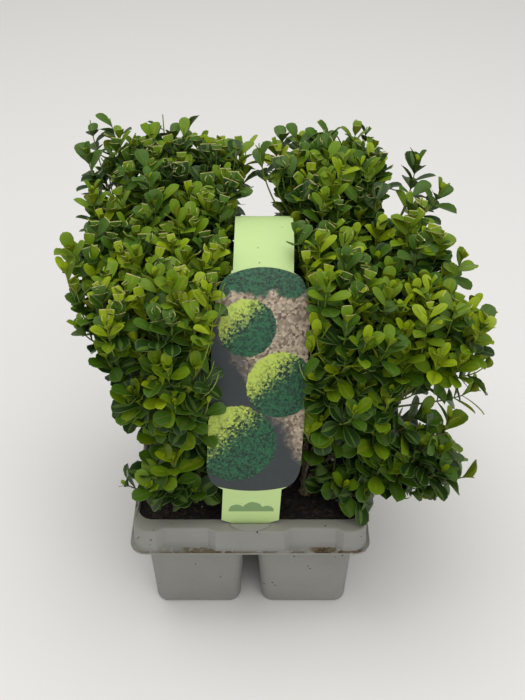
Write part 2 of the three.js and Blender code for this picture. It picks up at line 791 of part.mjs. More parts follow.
const finished = [...keptFree, tray, compost, ...stems, ...boughs.map((shoot) => shoot.bough)];
for (const shoot of shoots) {
  const guards = shoots.filter((other) => other !== shoot).flatMap((other) => [...other.guards, other.core]);
  const mass = buildMass(shoot, [...finished, ...guards]);
  finished.push(mass);
  pack.add(meshOf("leaves_" + shoot.name, mass, materials.foliage));
}

// The frame's origin is on the ground under the middle of the whole pack.
const bounds = new THREE.Box3().setFromObject(pack, true);
const middle = bounds.getCenter(new THREE.Vector3());
pack.position.set(-middle.x, -middle.y, 0);

export default pack;
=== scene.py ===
# Six young box plants in a plastic tray of six cells, with the printed strap label that is their handle.
import math

import bmesh
import bpy
import numpy as np
from mathutils import Matrix, Vector, noise


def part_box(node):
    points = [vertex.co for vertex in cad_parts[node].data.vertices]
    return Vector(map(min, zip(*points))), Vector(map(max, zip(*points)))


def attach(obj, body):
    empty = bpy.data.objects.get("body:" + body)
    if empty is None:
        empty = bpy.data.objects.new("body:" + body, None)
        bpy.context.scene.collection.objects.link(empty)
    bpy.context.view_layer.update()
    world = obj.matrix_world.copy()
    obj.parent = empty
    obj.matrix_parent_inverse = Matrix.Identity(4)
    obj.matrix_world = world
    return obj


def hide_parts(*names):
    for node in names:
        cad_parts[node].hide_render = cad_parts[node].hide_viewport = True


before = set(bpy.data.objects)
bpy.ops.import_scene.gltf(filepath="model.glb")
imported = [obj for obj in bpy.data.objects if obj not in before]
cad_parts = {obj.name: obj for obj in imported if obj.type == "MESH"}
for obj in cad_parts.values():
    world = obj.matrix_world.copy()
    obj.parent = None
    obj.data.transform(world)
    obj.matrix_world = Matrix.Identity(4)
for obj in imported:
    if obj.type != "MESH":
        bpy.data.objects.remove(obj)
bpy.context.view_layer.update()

# The studio
# The pack stands on a seamless pale sweep under large soft lights, and is seen from the front and from
# well above. All is placed from the middle of the tray's rim, which the frame gives.
MM = 0.001
LIP_HEIGHT = 1.4 * MM
tray_low, tray_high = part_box("tray")
MIDDLE_X = (tray_low.x + tray_high.x) / 2
MIDDLE_Y = (tray_low.y + tray_high.y) / 2
RIM_Z = tray_high.z - LIP_HEIGHT
CAMERA_PLACE = (7.9, -562.8, 476.7)
CAMERA_PITCH = math.radians(36)
FOCAL_PIXELS = 1051
PHOTO_PIXELS = 700
SENSOR = 36
SWEEP_SIZE = 6
SWEEP_COLOUR = (0.85, 0.84, 0.82)
SWEEP_ROUGHNESS = 0.75
SKY_COLOUR = (1.0, 0.99, 0.97)
SKY_STRENGTH = 0.55
LAMPS = {
    "window": {"place": (-0.1, 0.1, 1.6), "target": (0, 0, 0.15), "size": 1.3, "power": 11},
    "front_fill": {"place": (0.5, -1.4, 1.6), "target": (0, -0.2, 0), "size": 1.6, "power": 10},
}

camera_data = bpy.data.cameras.new("camera")
camera_data.sensor_width = SENSOR
camera_data.lens = FOCAL_PIXELS / PHOTO_PIXELS * SENSOR
camera = bpy.data.objects.new("camera", camera_data)
camera.location = Vector((MIDDLE_X, MIDDLE_Y, RIM_Z)) + Vector(CAMERA_PLACE) * MM
camera.rotation_euler = (math.pi / 2 - CAMERA_PITCH, 0, 0)
bpy.context.scene.collection.objects.link(camera)
bpy.context.scene.camera = camera


def new_material(name, colour, roughness, specular=0.5):
    material = bpy.data.materials.new(name)
    material.use_nodes = True
    shader = material.node_tree.nodes["Principled BSDF"]
    shader.inputs["Base Color"].default_value = (*colour, 1)
    shader.inputs["Roughness"].default_value = roughness
    shader.inputs["Specular IOR Level"].default_value = specular
    return material


bpy.ops.object.select_all(action="DESELECT")
bpy.ops.mesh.primitive_plane_add(size=SWEEP_SIZE, location=(0, 0, 0))
floor = bpy.context.object
floor.name = "sweep"
floor.data.materials.append(new_material("sweep", SWEEP_COLOUR, SWEEP_ROUGHNESS))

world = bpy.data.worlds.new("studio")
world.use_nodes = True
sky = world.node_tree.nodes["Background"]
sky.inputs["Color"].default_value = (*SKY_COLOUR, 1)
sky.inputs["Strength"].default_value = SKY_STRENGTH
bpy.context.scene.world = world
bpy.context.scene.view_settings.view_transform = "Standard"

for name, lamp in LAMPS.items():
    light = bpy.data.lights.new(name, "AREA")
    light.shape = "SQUARE"
    light.size = lamp["size"]
    light.energy = lamp["power"]
    softbox = bpy.data.objects.new(name, light)
    softbox.location = lamp["place"]
    aim = Vector(lamp["target"]) - Vector(lamp["place"])
    softbox.rotation_euler = aim.to_track_quat("-Z", "Y").to_euler()
    bpy.context.scene.collection.objects.link(softbox)

# The tray
# One sheet of recycled polystyrene, drawn while hot into six tapered cells under a stiff rim. The skirt
# of the rim has shallow finger notches, and a half-round lip in front of each slot keeps the label in.
WALL = 1.2 * MM
BASIN = Vector((141.5, 176, 6)) * MM
BASIN_CORNER = 9.5 * MM
FLANGE = Vector((147.1, 199.6, 0)) * MM
SKIRT = Vector((148.5, 201, 16)) * MM
HEM = Vector((152.5, 205, 0)) * MM
CELL = Vector((65.2, 55, 0)) * MM
CELL_CORNER = 8 * MM
CELL_TAPER = 4.4 * MM
CELL_FOOT_ROUND = 2.6 * MM
CELL_PITCH = Vector((71, 60.5, 0)) * MM
DRAIN = 5 * MM
NOTCH_PLACE = 40.2 * MM
NOTCH_INNER = 13.75 * MM
NOTCH_OUTER = 18.75 * MM
NOTCH_DEPTH_END = 3.2 * MM
NOTCH_DEPTH_SIDE = 1.5 * MM
NOTCH_ROWS = (-CELL_PITCH.y, 0, CELL_PITCH.y)
RIM_ROUND = 1.1 * MM
HEM_ROUND = 0.7 * MM
LIP_ROUND = 0.9 * MM
SHARP, SOFT = math.radians(60), math.radians(30)
HAIR = 1e-6
SLOT = Vector((25, 2, 12)) * MM
SLOT_Y = 92 * MM
LIP = Vector((26, 12, 0)) * MM
DIVIDER_Z = RIM_Z - BASIN.z
HEM_Z = RIM_Z - SKIRT.z
CELL_CENTRES = [
    Vector((MIDDLE_X + (column - 0.5) * CELL_PITCH.x, MIDDLE_Y + (row - 1) * CELL_PITCH.y, 0))
    for row in range(3)
    for column in range(2)
]


def begin(name):
    """Takes the primitive just added as a new piece, with its place in its mesh, and opens it for editing."""
    piece = bpy.context.object
    piece.name = name
    bpy.ops.object.transform_apply(location=True, rotation=True, scale=True)
    bpy.ops.object.mode_set(mode="EDIT")
    bpy.ops.mesh.select_all(action="SELECT")
    return piece


def pick(kind, test):
    """Selects the corners, edges or faces of the piece in hand for which the test holds."""
    bpy.ops.mesh.select_mode(type=kind)
    bpy.ops.mesh.select_all(action="DESELECT")
    data = bpy.context.edit_object.data
    mesh = bmesh.from_edit_mesh(data)
    for item in {"VERT": mesh.verts, "EDGE": mesh.edges, "FACE": mesh.faces}[kind]:
        if test(item):
            item.select_set(True)
    bmesh.update_edit_mesh(data)


def near(a, b):
    return abs(a - b) < HAIR


def level(edge, z):
    return all(near(corner.co.z, z) for corner in edge.verts)


def upright(edge):
    a, b = (corner.co for corner in edge.verts)
    return abs(a.z - b.z) > 0.9 * (a - b).length


def bent(edge):
    return len(edge.link_faces) == 2 and edge.calc_face_angle() > SHARP


def only(piece):
    bpy.ops.object.select_all(action="DESELECT")
    piece.select_set(True)
    bpy.context.view_layer.objects.active = piece


def done(piece):
    bpy.ops.object.mode_set(mode="OBJECT")
    only(piece)
    return piece


def block(name, width, length, bottom, top, x, y, corner=0.0, inset=0.0, foot=0.0):
    """A block with rounded upright corners, drawn in at its foot and rounded there."""
    bpy.ops.object.select_all(action="DESELECT")
    size = (width, length, top - bottom)
    bpy.ops.mesh.primitive_cube_add(size=1, location=(x, y, (bottom + top) / 2), scale=size)
    piece = begin(name)
    if inset > 0:
        pick("FACE", lambda face: face.normal.z < -0.9)
        shrink = (1 - 2 * inset / width, 1 - 2 * inset / length, 1)
        bpy.ops.transform.resize(value=shrink, center_override=(x, y, bottom))
    if corner > 0:
        pick("EDGE", upright)
        bpy.ops.mesh.bevel(offset=corner, segments=6)
    if foot > 0:
        pick("EDGE", lambda edge: level(edge, bottom))
        bpy.ops.mesh.bevel(offset=foot, segments=3)
    return done(piece)


def join(name, pieces):
    bpy.ops.object.select_all(action="DESELECT")
    for piece in pieces:
        piece.select_set(True)
    bpy.context.view_layer.objects.active = pieces[0]
    bpy.ops.object.join()
    pieces[0].name = name
    return pieces[0]


def carve(piece, tool, operation):
    """Adds the tool to the piece or cuts it away, and takes the tool off the bench."""
    only(piece)
    cut = piece.modifiers.new("cut", "BOOLEAN")
    cut.operation = operation
    cut.solver = "EXACT"
    cut.object = tool
    bpy.ops.object.modifier_apply(modifier=cut.name)
    bpy.data.objects.remove(tool)


def cell_blocks(name, shrink, bottom, top):
    drawn_in = CELL_TAPER * (1 - bottom / DIVIDER_Z)
    width, length = CELL.x - 2 * shrink, CELL.y - 2 * shrink
    corner, foot = CELL_CORNER - shrink, CELL_FOOT_ROUND - shrink
    blocks = [block(name, width, length, bottom, top, c.x, c.y, corner, drawn_in, foot) for c in CELL_CENTRES]
    return join(name, blocks)


def drawn_out(start, end, move=(0, 0, 0)):
    """Draws the selected outline out from one size to another round the tray's middle."""
    bpy.ops.mesh.extrude_edges_move(TRANSFORM_OT_translate={"value": move})
    grow = (end.x / start.x, end.y / start.y, 1)
    bpy.ops.transform.resize(value=grow, center_override=(MIDDLE_X, MIDDLE_Y, RIM_Z))


def score(x=None, y=None):
    """Scores a line right across the sheet, so that it can be bent there."""
    bpy.ops.mesh.select_all(action="SELECT")
    place = (MIDDLE_X + (x or 0), MIDDLE_Y + (y or 0), RIM_Z)
    bpy.ops.mesh.bisect(plane_co=place, plane_no=(1, 0, 0) if y is None else (0, 1, 0))


def on_skirt(corner, half_size, axis):
    away = abs(corner.co[axis] - (MIDDLE_X, MIDDLE_Y)[axis])
    return corner.co.z < RIM_Z + HAIR and near(away, half_size)


def press_in(axis, half_sizes, places, depth):
    """Presses the notches into the skirt on both sides of the tray."""
    middle = (MIDDLE_X, MIDDLE_Y)
    for side in (-1, 1):
        for place in places:
            pick(
                "VERT",
                lambda v: (v.co[axis] - middle[axis]) * side > 0
                and any(on_skirt(v, size / 2, axis) for size in half_sizes)
                and abs(v.co[1 - axis] - middle[1 - axis] - place) < NOTCH_INNER + HAIR,
            )
            move = [0, 0, 0]
            move[axis] = -side * depth
            bpy.ops.transform.translate(value=move)


bpy.ops.object.select_all(action="DESELECT")
bpy.ops.mesh.primitive_plane_add(size=1, location=(MIDDLE_X, MIDDLE_Y, DIVIDER_Z))
bpy.context.object.scale = (BASIN.x, BASIN.y, 1)
tray = begin("tray_sheet")
bpy.ops.mesh.bevel(offset=BASIN_CORNER, segments=7, affect="VERTICES")
pick("EDGE", lambda edge: True)
bpy.ops.mesh.extrude_edges_move(TRANSFORM_OT_translate={"value": (0, 0, BASIN.z)})
drawn_out(BASIN, FLANGE)
drawn_out(FLANGE, SKIRT, (0, 0, -SKIRT.z))
drawn_out(SKIRT, HEM)
for notch_edge in (-NOTCH_OUTER, -NOTCH_INNER, NOTCH_INNER, NOTCH_OUTER):
    for place in (-NOTCH_PLACE, NOTCH_PLACE):
        score(x=place + notch_edge)
    for place in NOTCH_ROWS:
        score(y=place + notch_edge)
press_in(1, (FLANGE.y, SKIRT.y), (-NOTCH_PLACE, NOTCH_PLACE), NOTCH_DEPTH_END)
press_in(0, (FLANGE.x, SKIRT.x), NOTCH_ROWS, NOTCH_DEPTH_SIDE)
pick("EDGE", lambda edge: bent(edge) and level(edge, RIM_Z))
bpy.ops.mesh.bevel(offset=RIM_ROUND, segments=3)
pick("EDGE", lambda edge: bent(edge) and level(edge, HEM_Z))
bpy.ops.mesh.bevel(offset=HEM_ROUND, segments=2)
done(tray)
sheet = tray.modifiers.new("wall", "SOLIDIFY")
sheet.thickness = WALL
sheet.offset = -1
sheet.use_even_offset = True
bpy.ops.object.modifier_apply(modifier=sheet.name)
carve(tray, cell_blocks("cells", 0, 0, DIVIDER_Z - WALL / 2), "UNION")
carve(tray, cell_blocks("hollows", WALL, WALL, DIVIDER_Z + WALL), "DIFFERENCE")

drains = []
for centre in CELL_CENTRES:
    bpy.ops.object.select_all(action="DESELECT")
    bpy.ops.mesh.primitive_cylinder_add(vertices=24, radius=DRAIN, depth=4 * WALL, location=centre)
    drains.append(done(begin("drain")))
carve(tray, join("drains", drains), "DIFFERENCE")

slots = [
    block("slot", SLOT.x, SLOT.y, RIM_Z - SLOT.z / 2, RIM_Z + SLOT.z / 2, MIDDLE_X, MIDDLE_Y + side * SLOT_Y)
    for side in (-1, 1)
]
carve(tray, join("slots", slots), "DIFFERENCE")

lips = []
for side in (-1, 1):
    start = MIDDLE_Y + side * (SLOT_Y + SLOT.y / 2)
    bpy.ops.object.select_all(action="DESELECT")
    bpy.ops.mesh.primitive_cylinder_add(
        vertices=40,
        radius=0.5,
        depth=1,
        location=(MIDDLE_X, start, RIM_Z + (LIP_HEIGHT - WALL / 2) / 2),
        scale=(LIP.x, LIP.y, LIP_HEIGHT + WALL / 2),
    )
    lip = begin("lip")
    bpy.ops.mesh.bisect(
        plane_co=(MIDDLE_X, start, RIM_Z), plane_no=(0, side, 0), clear_inner=True, use_fill=True
    )
    pick("EDGE", lambda edge: level(edge, RIM_Z + LIP_HEIGHT))
    bpy.ops.mesh.bevel(offset=LIP_ROUND, segments=2)
    lips.append(done(lip))
carve(tray, join("lips", lips), "UNION")


class Pattern:
    """A value, colour or place that changes over a surface. Arithmetic on it adds the nodes for it."""

    def __init__(self, socket):
        self.socket = socket
        self.tree = socket.id_data

    def math(self, operation, other=None):
        inputs = {0: self} if other is None else {0: self, 1: other}
        return add(self.tree, "Math", 0, inputs, operation=operation)

    def __add__(self, other):
        return self.math("ADD", other)

    def __sub__(self, other):
        return self.math("SUBTRACT", other)

    def __mul__(self, other):
        return self.math("MULTIPLY", other)

    def __truediv__(self, other):
        return self.math("DIVIDE", other)

    def rise(self, start, end):
        """A mask that goes from 0 to 1 as the value goes from start to end."""
        inputs = {"Value": self, "From Min": start, "From Max": end}
        return add(self.tree, "MapRange", 0, inputs, interpolation_type="SMOOTHSTEP")

    def blend(self, under, over):
        """One colour over another, with this value as the mask."""
        return add(self.tree, "Mix", 2, {0: self, 6: under, 7: over}, data_type="RGBA")

    def axes(self):
        """The three parts of a place or a direction."""
        parts = self.tree.nodes.new("ShaderNodeSeparateXYZ")
        connect(parts.inputs[0], self)
        return [Pattern(part) for part in parts.outputs]

    def patches(self, scale, detail):
        """Soft light and dark patches round this place."""
        return add(self.tree, "TexNoise", 0, {"Vector": self, "Scale": scale, "Detail": detail})

    def shades(self, tone):
        """This colour, made lighter or darker by a tone."""
        grey = add(self.tree, "CombineColor", 0, {0: tone, 1: tone, 2: tone})
        inputs = {0: 1.0, 6: self, 7: grey}
        return add(self.tree, "Mix", 2, inputs, data_type="RGBA", blend_type="MULTIPLY")


def connect(socket, value):
    """Feeds a node's socket from a pattern, or sets it to a plain value."""
    if isinstance(value, Pattern):
        socket.id_data.links.new(value.socket, socket)
    else:
        socket.default_value = value


def add(tree, kind, output, inputs=None, **settings):
    """Adds a node and gives what comes out of it."""
    made = tree.nodes.new("ShaderNode" + kind)
    for key, value in settings.items():
        setattr(made, key, value)
    for key, value in (inputs or {}).items():
        connect(made.inputs[key], value)
    return Pattern(made.outputs[output])


def new_group(name, inputs, outputs):
    """A node group with named sockets, given as name, kind and first value, and as name and kind."""
    group = bpy.data.node_groups.new(name, "ShaderNodeTree")
    for label, kind, value in inputs:
        socket = group.interface.new_socket(name=label, in_out="INPUT", socket_type="NodeSocket" + kind)
        socket.default_value = value
    for label, kind in outputs:
        group.interface.new_socket(name=label, in_out="OUTPUT", socket_type="NodeSocket" + kind)
    given = {socket.name: Pattern(socket) for socket in group.nodes.new("NodeGroupInput").outputs}
    return group, given, group.nodes.new("NodeGroupOutput").inputs


def use_group(material, group, inputs):
    made = material.node_tree.nodes.new("ShaderNodeGroup")
    made.node_tree = group
    for key, value in inputs.items():
        connect(made.inputs[key], value)
    return {socket.name: Pattern(socket) for socket in made.outputs}


def dress(material, relief_depth=0.0, **patterns):
    """Feeds the sockets of a material's shader, named with underscores, and gives it a relief."""
    shader = material.node_tree.nodes["Principled BSDF"]
    if relief_depth > 0:
        inputs = {"Height": patterns.pop("height"), "Distance": relief_depth, "Strength": 1.0}
        patterns["normal"] = add(material.node_tree, "Bump", "Normal", inputs)
    for name, pattern in patterns.items():
        connect(shader.inputs[name.replace("_", " ").title()], pattern)


BROAD_SCALE, WHERE_SCALE, FINE_SCALE, GRIT_SCALE = 28.0, 75.0, 260.0, 210.0
CAKED, CRUMBLED = (0.8, 1.0), (0.4, 0.6)
SPECK_SIZE, SPECKED = (0.17, 0.1), (0.56, 0.62)
SPECK_COLOUR = (0.03, 0.028, 0.022, 1)
DRY_CRUMB = (0.13, 0.105, 0.055, 1)
soiling, soil_in, soil_out = new_group(
    "soiling",
    [
        ("Colour", "Color", (0.3, 0.3, 0.3, 1)),
        ("Dirt", "Color", (0.05, 0.03, 0.01, 1)),
        ("Ledge", "Float", 0.0),
        ("Specks", "Float", 1.0),
        ("Mottling", "Float", 0.1),
    ],
    [("Colour", "Color"), ("Roughness", "Float"), ("Height", "Float")],
)
place_on = add(soiling, "TexCoord", "Object")
broad = place_on.patches(BROAD_SCALE, 3.0)
where = place_on.patches(WHERE_SCALE, 2.0)
fine = place_on.patches(FINE_SCALE, 5.0)
grit = add(soiling, "TexVoronoi", "Distance", {"Vector": place_on, "Scale": GRIT_SCALE})
clean = soil_in["Colour"].shades((broad - 0.5) * soil_in["Mottling"] * 2.0 + 1.0)
caked = (where + fine).rise(*CAKED) * soil_in["Ledge"]
speck = grit.rise(*SPECK_SIZE) * where.rise(*SPECKED) * soil_in["Specks"]
with_dirt = caked.blend(clean, fine.rise(*CRUMBLED).blend(soil_in["Dirt"], DRY_CRUMB))
connect(soil_out["Colour"], speck.blend(with_dirt, SPECK_COLOUR))
connect(soil_out["Roughness"], fine * 0.35 + 0.42)
connect(soil_out["Height"], fine * 0.3 + caked)

TRAY_GREY = (0.27, 0.27, 0.25, 1)
RIM_TINT = (0.28, 0.275, 0.235, 1)
TRAY_DIRT = (0.05, 0.025, 0.01, 1)
DIRT_BESIDE_NOTCHES = 0.25
DIRT_BOTTOM, DIRT_TOP = (HEM_Z - 6 * MM, HEM_Z - 3 * MM), (HEM_Z + 5 * MM, HEM_Z + 2 * MM)
RIM_TOP = (RIM_Z - 3 * MM, RIM_Z - 1 * MM)
UPWARD = (0.45, 0.9)
tray_plastic = new_material("tray_plastic", TRAY_GREY[:3], 0.55, 0.35)
x_on_tray, y_on_tray, z_on_tray = add(tray_plastic.node_tree, "TexCoord", "Object").axes()
facing_up = add(tray_plastic.node_tree, "TexCoord", "Normal").axes()[2].rise(*UPWARD)
over_hem = z_on_tray.rise(*DIRT_BOTTOM) * z_on_tray.rise(*DIRT_TOP)
from_end_notch = (x_on_tray.math("ABSOLUTE") - NOTCH_PLACE).math("ABSOLUTE")
from_side_notch = y_on_tray.math("PINGPONG", CELL_PITCH.y / 2)
in_notch = from_end_notch.math("MINIMUM", from_side_notch).rise(NOTCH_OUTER, NOTCH_INNER)
caught = in_notch * (1 - DIRT_BESIDE_NOTCHES) + DIRT_BESIDE_NOTCHES
on_rim = facing_up * z_on_tray.rise(*RIM_TOP)
worn = use_group(
    tray_plastic,
    soiling,
    {
        "Colour": on_rim.blend(TRAY_GREY, RIM_TINT),
        "Dirt": TRAY_DIRT,
        "Ledge": facing_up * over_hem * caught,
        "Mottling": 0.16,
    },
)
dress(tray_plastic, 0.12 * MM, base_color=worn["Colour"], roughness=worn["Roughness"], height=worn["Height"])

only(tray)
bpy.ops.object.shade_smooth_by_angle(angle=SOFT)
tray.data.materials.clear()
tray.data.materials.append(tray_plastic)
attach(tray, "root")
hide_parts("tray")

# The compost
# Damp peat-free mix of bark and wood fibre, pressed into the cells and lying a little way over the walls
# between them. It is nearly black where it is wet, with crumbs, chips of bark and a few pale grains on top.
SOIL_BELOW_RIM = 3
PIECE_GAP = 0.3
BED_GRID = (96, 120)
BED_DEPTH = 12 * MM
LUMP_HEIGHT = 3.2 * MM
LUMP_SIZE = 9 * MM
CRUMBS = 1100
CRUMB_SIZES = (0.7, 2.6)
CRUMB_SHAPE, CHIP_SHAPE = (0.7, 0.6, 0.5), (1.7, 0.8, 0.35)
CRUMBS_OFF_EDGE = 5 * MM
CRUMB_UNEVEN, CRUMB_TILT, CRUMB_RISE = 0.3, 0.4, 0.6
SHARE_OF_BARK, SHARE_OF_PALE = 0.3, 0.03
WET, DRY_FIBRE = (0.008, 0.005, 0.004, 1), (0.05, 0.026, 0.015, 1)
FIBRE_SCALE = 420.0

gap = PIECE_GAP * MM
bpy.ops.object.select_all(action="DESELECT")
bpy.ops.mesh.primitive_grid_add(
    x_subdivisions=BED_GRID[0],
    y_subdivisions=BED_GRID[1],
    size=1,
    location=(MIDDLE_X, MIDDLE_Y, RIM_Z - SOIL_BELOW_RIM * MM - 0.3 * LUMP_HEIGHT),
)
bpy.context.object.scale = (BASIN.x, BASIN.y, 1)
bed = begin("compost_bed")
done(bed)
lumps = bpy.data.textures.new("lumps", "CLOUDS")
lumps.noise_scale = LUMP_SIZE
lumps.noise_depth = 3
heave = bed.modifiers.new("heave", "DISPLACE")
heave.texture = lumps
heave.texture_coords = "LOCAL"
heave.strength = LUMP_HEIGHT
heave.direction = "Z"
bpy.ops.object.modifier_apply(modifier=heave.name)
bed_tops = np.array([corner.co[:] for corner in bed.data.vertices])
bpy.ops.object.mode_set(mode="EDIT")
bpy.ops.mesh.select_all(action="SELECT")
bpy.ops.mesh.extrude_region_move(TRANSFORM_OT_translate={"value": (0, 0, -BED_DEPTH)})
bpy.ops.mesh.select_all(action="SELECT")
bpy.ops.mesh.normals_make_consistent(inside=False)
done(bed)
outline = block(
    "bed_outline",
    BASIN.x - 2 * gap,
    BASIN.y - 2 * gap,
    DIVIDER_Z + gap,
    RIM_Z + BED_DEPTH,
    MIDDLE_X,
    MIDDLE_Y,
    BASIN_CORNER - gap,
)
carve(bed, outline, "INTERSECT")
plugs = cell_blocks("plugs", WALL + gap, WALL + gap, DIVIDER_Z + 2 * gap)


class Pile:
    """Corners, faces and face materials gathered for one mesh."""

    def __init__(self):
        self.points = []
        self.faces = []
        self.kinds = []
        self.count = 0

    def add(self, points, faces, kinds):
        self.points.append(points)
        self.faces.extend((np.asarray(faces) + self.count).tolist())
        self.kinds.extend(kinds)
        self.count += len(points)

    def piece(self, name, materials):
        mesh = bpy.data.meshes.new(name)
        mesh.from_pydata(np.concatenate(self.points), [], self.faces)
        mesh.polygons.foreach_set("material_index", self.kinds)
        mesh.polygons.foreach_set("use_smooth", [True] * len(self.faces))
        for material in materials:
            mesh.materials.append(material)
        mesh.update()
        made = bpy.data.objects.new(name, mesh)
        bpy.context.scene.collection.objects.link(made)
        return made


def chance(a, b=0.0, c=0.0):
    """A number from 0 to 1 that depends only on its seeds."""
    wave = math.sin(a * 127.1 + b * 311.7 + c * 74.7) * 43758.5453
    return wave - math.floor(wave)


CUBE_CORNERS = np.array([(x, y, z) for z in (-1, 1) for y in (-1, 1) for x in (-1, 1)], float)
CUBE_FACES = [(0, 2, 3, 1), (4, 5, 7, 6), (0, 1, 5, 4), (2, 6, 7, 3), (0, 4, 6, 2), (1, 3, 7, 5)]

crumbs = Pile()
half_bed = np.array((BASIN.x, BASIN.y)) / 2 - CRUMBS_OFF_EDGE
inner_tops = bed_tops[(np.abs(bed_tops[:, :2] - (MIDDLE_X, MIDDLE_Y)) < half_bed).all(axis=1)]
for k in range(CRUMBS):
    kind = 1 if chance(k, 1) < SHARE_OF_BARK else 2 if chance(k, 1) > 1 - SHARE_OF_PALE else 0
    size = CRUMB_SIZES[0] + (CRUMB_SIZES[1] - CRUMB_SIZES[0]) * chance(k, 2) ** 2
    shape = np.array(CHIP_SHAPE if kind == 1 else CRUMB_SHAPE) * size / 2 * MM
    bumps = np.array([[chance(k, corner, axis) for axis in range(3)] for corner in range(8)])
    uneven = 1 - CRUMB_UNEVEN + 2 * CRUMB_UNEVEN * bumps
    tilt = Matrix.Rotation(2 * CRUMB_TILT * chance(k, 4) - CRUMB_TILT, 3, "X")
    spin = Matrix.Rotation(6.28 * chance(k, 3), 3, "Z") @ tilt
    middle = inner_tops[int(chance(k, 5) * len(inner_tops))] + np.array((0, 0, shape[2] * CRUMB_RISE))
    corners = middle + (CUBE_CORNERS * uneven * shape) @ np.array(spin).T
    crumbs.add(corners, CUBE_FACES, [kind] * len(CUBE_FACES))

damp_mix = new_material("compost", (0.011, 0.007, 0.005), 0.75)
fibre = add(damp_mix.node_tree, "TexCoord", "Object").patches(FIBRE_SCALE, 6.0)
dress(damp_mix, 0.8 * MM, base_color=fibre.rise(0.5, 0.72).blend(WET, DRY_FIBRE), height=fibre)
bark_chip = new_material("bark_chip", (0.045, 0.022, 0.013), 0.8)
pale_grain = new_material("pale_grain", (0.3, 0.28, 0.24), 0.8)
loose = crumbs.piece("crumbs", [damp_mix, bark_chip, pale_grain])
compost = join("compost_surface", [bed, plugs])
compost.data.materials.clear()
compost.data.materials.append(damp_mix)
for piece in (compost, loose):
    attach(piece, "root")
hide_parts("compost")

# The strap label
# A printed band of polypropylene, 0.6 mm thick, that runs in an arch from slot to slot and is the handle.
# In front it is die-cut wider, with round ends, and printed there with clipped bushes on a dark ground.
STRAP_RISE = 160
STRAP_HALF_SPAN = 92
STRAP_LEAN = 9
STRAP_HALF_WIDTH = 18
STRAP_THICKNESS = 0.6
PANEL_HALF_WIDTH = 28.5
PANEL_FROM, PANEL_TO = 29, 165
PANEL_BOTTOM_ROUND, PANEL_TOP_ROUND = 17, 30
TAB_HALF_WIDTH = 11.5
TAB_DROP = 7
STRAP_STEP = 2.5

arch_angles = np.linspace(0, math.pi, 801)
arch = np.stack(
    [
        STRAP_LEAN * np.sin(arch_angles),
        -STRAP_HALF_SPAN * np.cos(arch_angles),
        STRAP_RISE * np.sin(arch_angles),
    ],
    axis=1,
)
arch_steps = np.hypot(np.diff(arch[:, 1]), np.diff(arch[:, 2]))
arch_lengths = np.concatenate(([0], np.cumsum(arch_steps)))
STRAP_LENGTH = arch_lengths[-1]


def strap_point(along):
    """The middle of the strap at a length from its front slot. Beyond both slots it hangs straight down."""
    if along < 0:
        return np.array((0, -STRAP_HALF_SPAN, along))
    if along > STRAP_LENGTH:
        return np.array((0, STRAP_HALF_SPAN, STRAP_LENGTH - along))
    return np.array([np.interp(along, arch_lengths, arch[:, k]) for k in range(3)])


def round_end(distance, radius):
    return math.sqrt(1 - (1 - min(1, max(0, distance / radius))) ** 2)


def strap_half_width(along):
    if min(along, STRAP_LENGTH - along) < 1:
        return TAB_HALF_WIDTH
    below = round_end(along - PANEL_FROM, PANEL_BOTTOM_ROUND)
    above = round_end(PANEL_TO - along, PANEL_TOP_ROUND)
    return STRAP_HALF_WIDTH + min(below, above) * (PANEL_HALF_WIDTH - STRAP_HALF_WIDTH)


total_length = STRAP_LENGTH + 2 * TAB_DROP
rows = round(total_length / STRAP_STEP)
row_places = [total_length * row / rows - TAB_DROP for row in range(rows + 1)]
bpy.ops.object.select_all(action="DESELECT")
bpy.ops.mesh.primitive_grid_add(
    x_subdivisions=8,
    y_subdivisions=rows,
    size=1,
    location=(0, (total_length / 2 - TAB_DROP) * MM, 0),
)
bpy.context.object.scale = (2 * MM, total_length * MM, 1)
strap = begin("strap_label")
for along in row_places:
    pick("VERT", lambda corner: abs(corner.co.y - along * MM) < 0.1 * MM)
    bpy.ops.transform.resize(value=(strap_half_width(along), 1, 1), center_override=(0, along * MM, 0))
done(strap)

# The print is laid out on the flat strap, with a unit to each hundred millimetres.
PRINT_UNIT = 0.01
flat = strap.data.uv_layers.new(name="print")
strap.data.uv_layers.active = flat
for loop in strap.data.loops:
    corner = strap.data.vertices[loop.vertex_index].co
    flat.data[loop.index].uv = (corner.x / MM * PRINT_UNIT, corner.y / MM * PRINT_UNIT)

bpy.ops.object.mode_set(mode="EDIT")
for along in row_places:
    target = Vector(strap_point(along)) * MM + Vector((MIDDLE_X, MIDDLE_Y, RIM_Z))
    pick("VERT", lambda corner: corner.co.z == 0 and abs(corner.co.y - along * MM) < 0.1 * MM)
    bpy.ops.transform.translate(value=target - Vector((0, along * MM, 0)))
done(strap)
sheet = strap.modifiers.new("thickness", "SOLIDIFY")
sheet.thickness = STRAP_THICKNESS * MM
sheet.offset = 0
bpy.ops.object.modifier_apply(modifier=sheet.name)
bpy.ops.object.shade_smooth_by_angle(angle=math.radians(40))

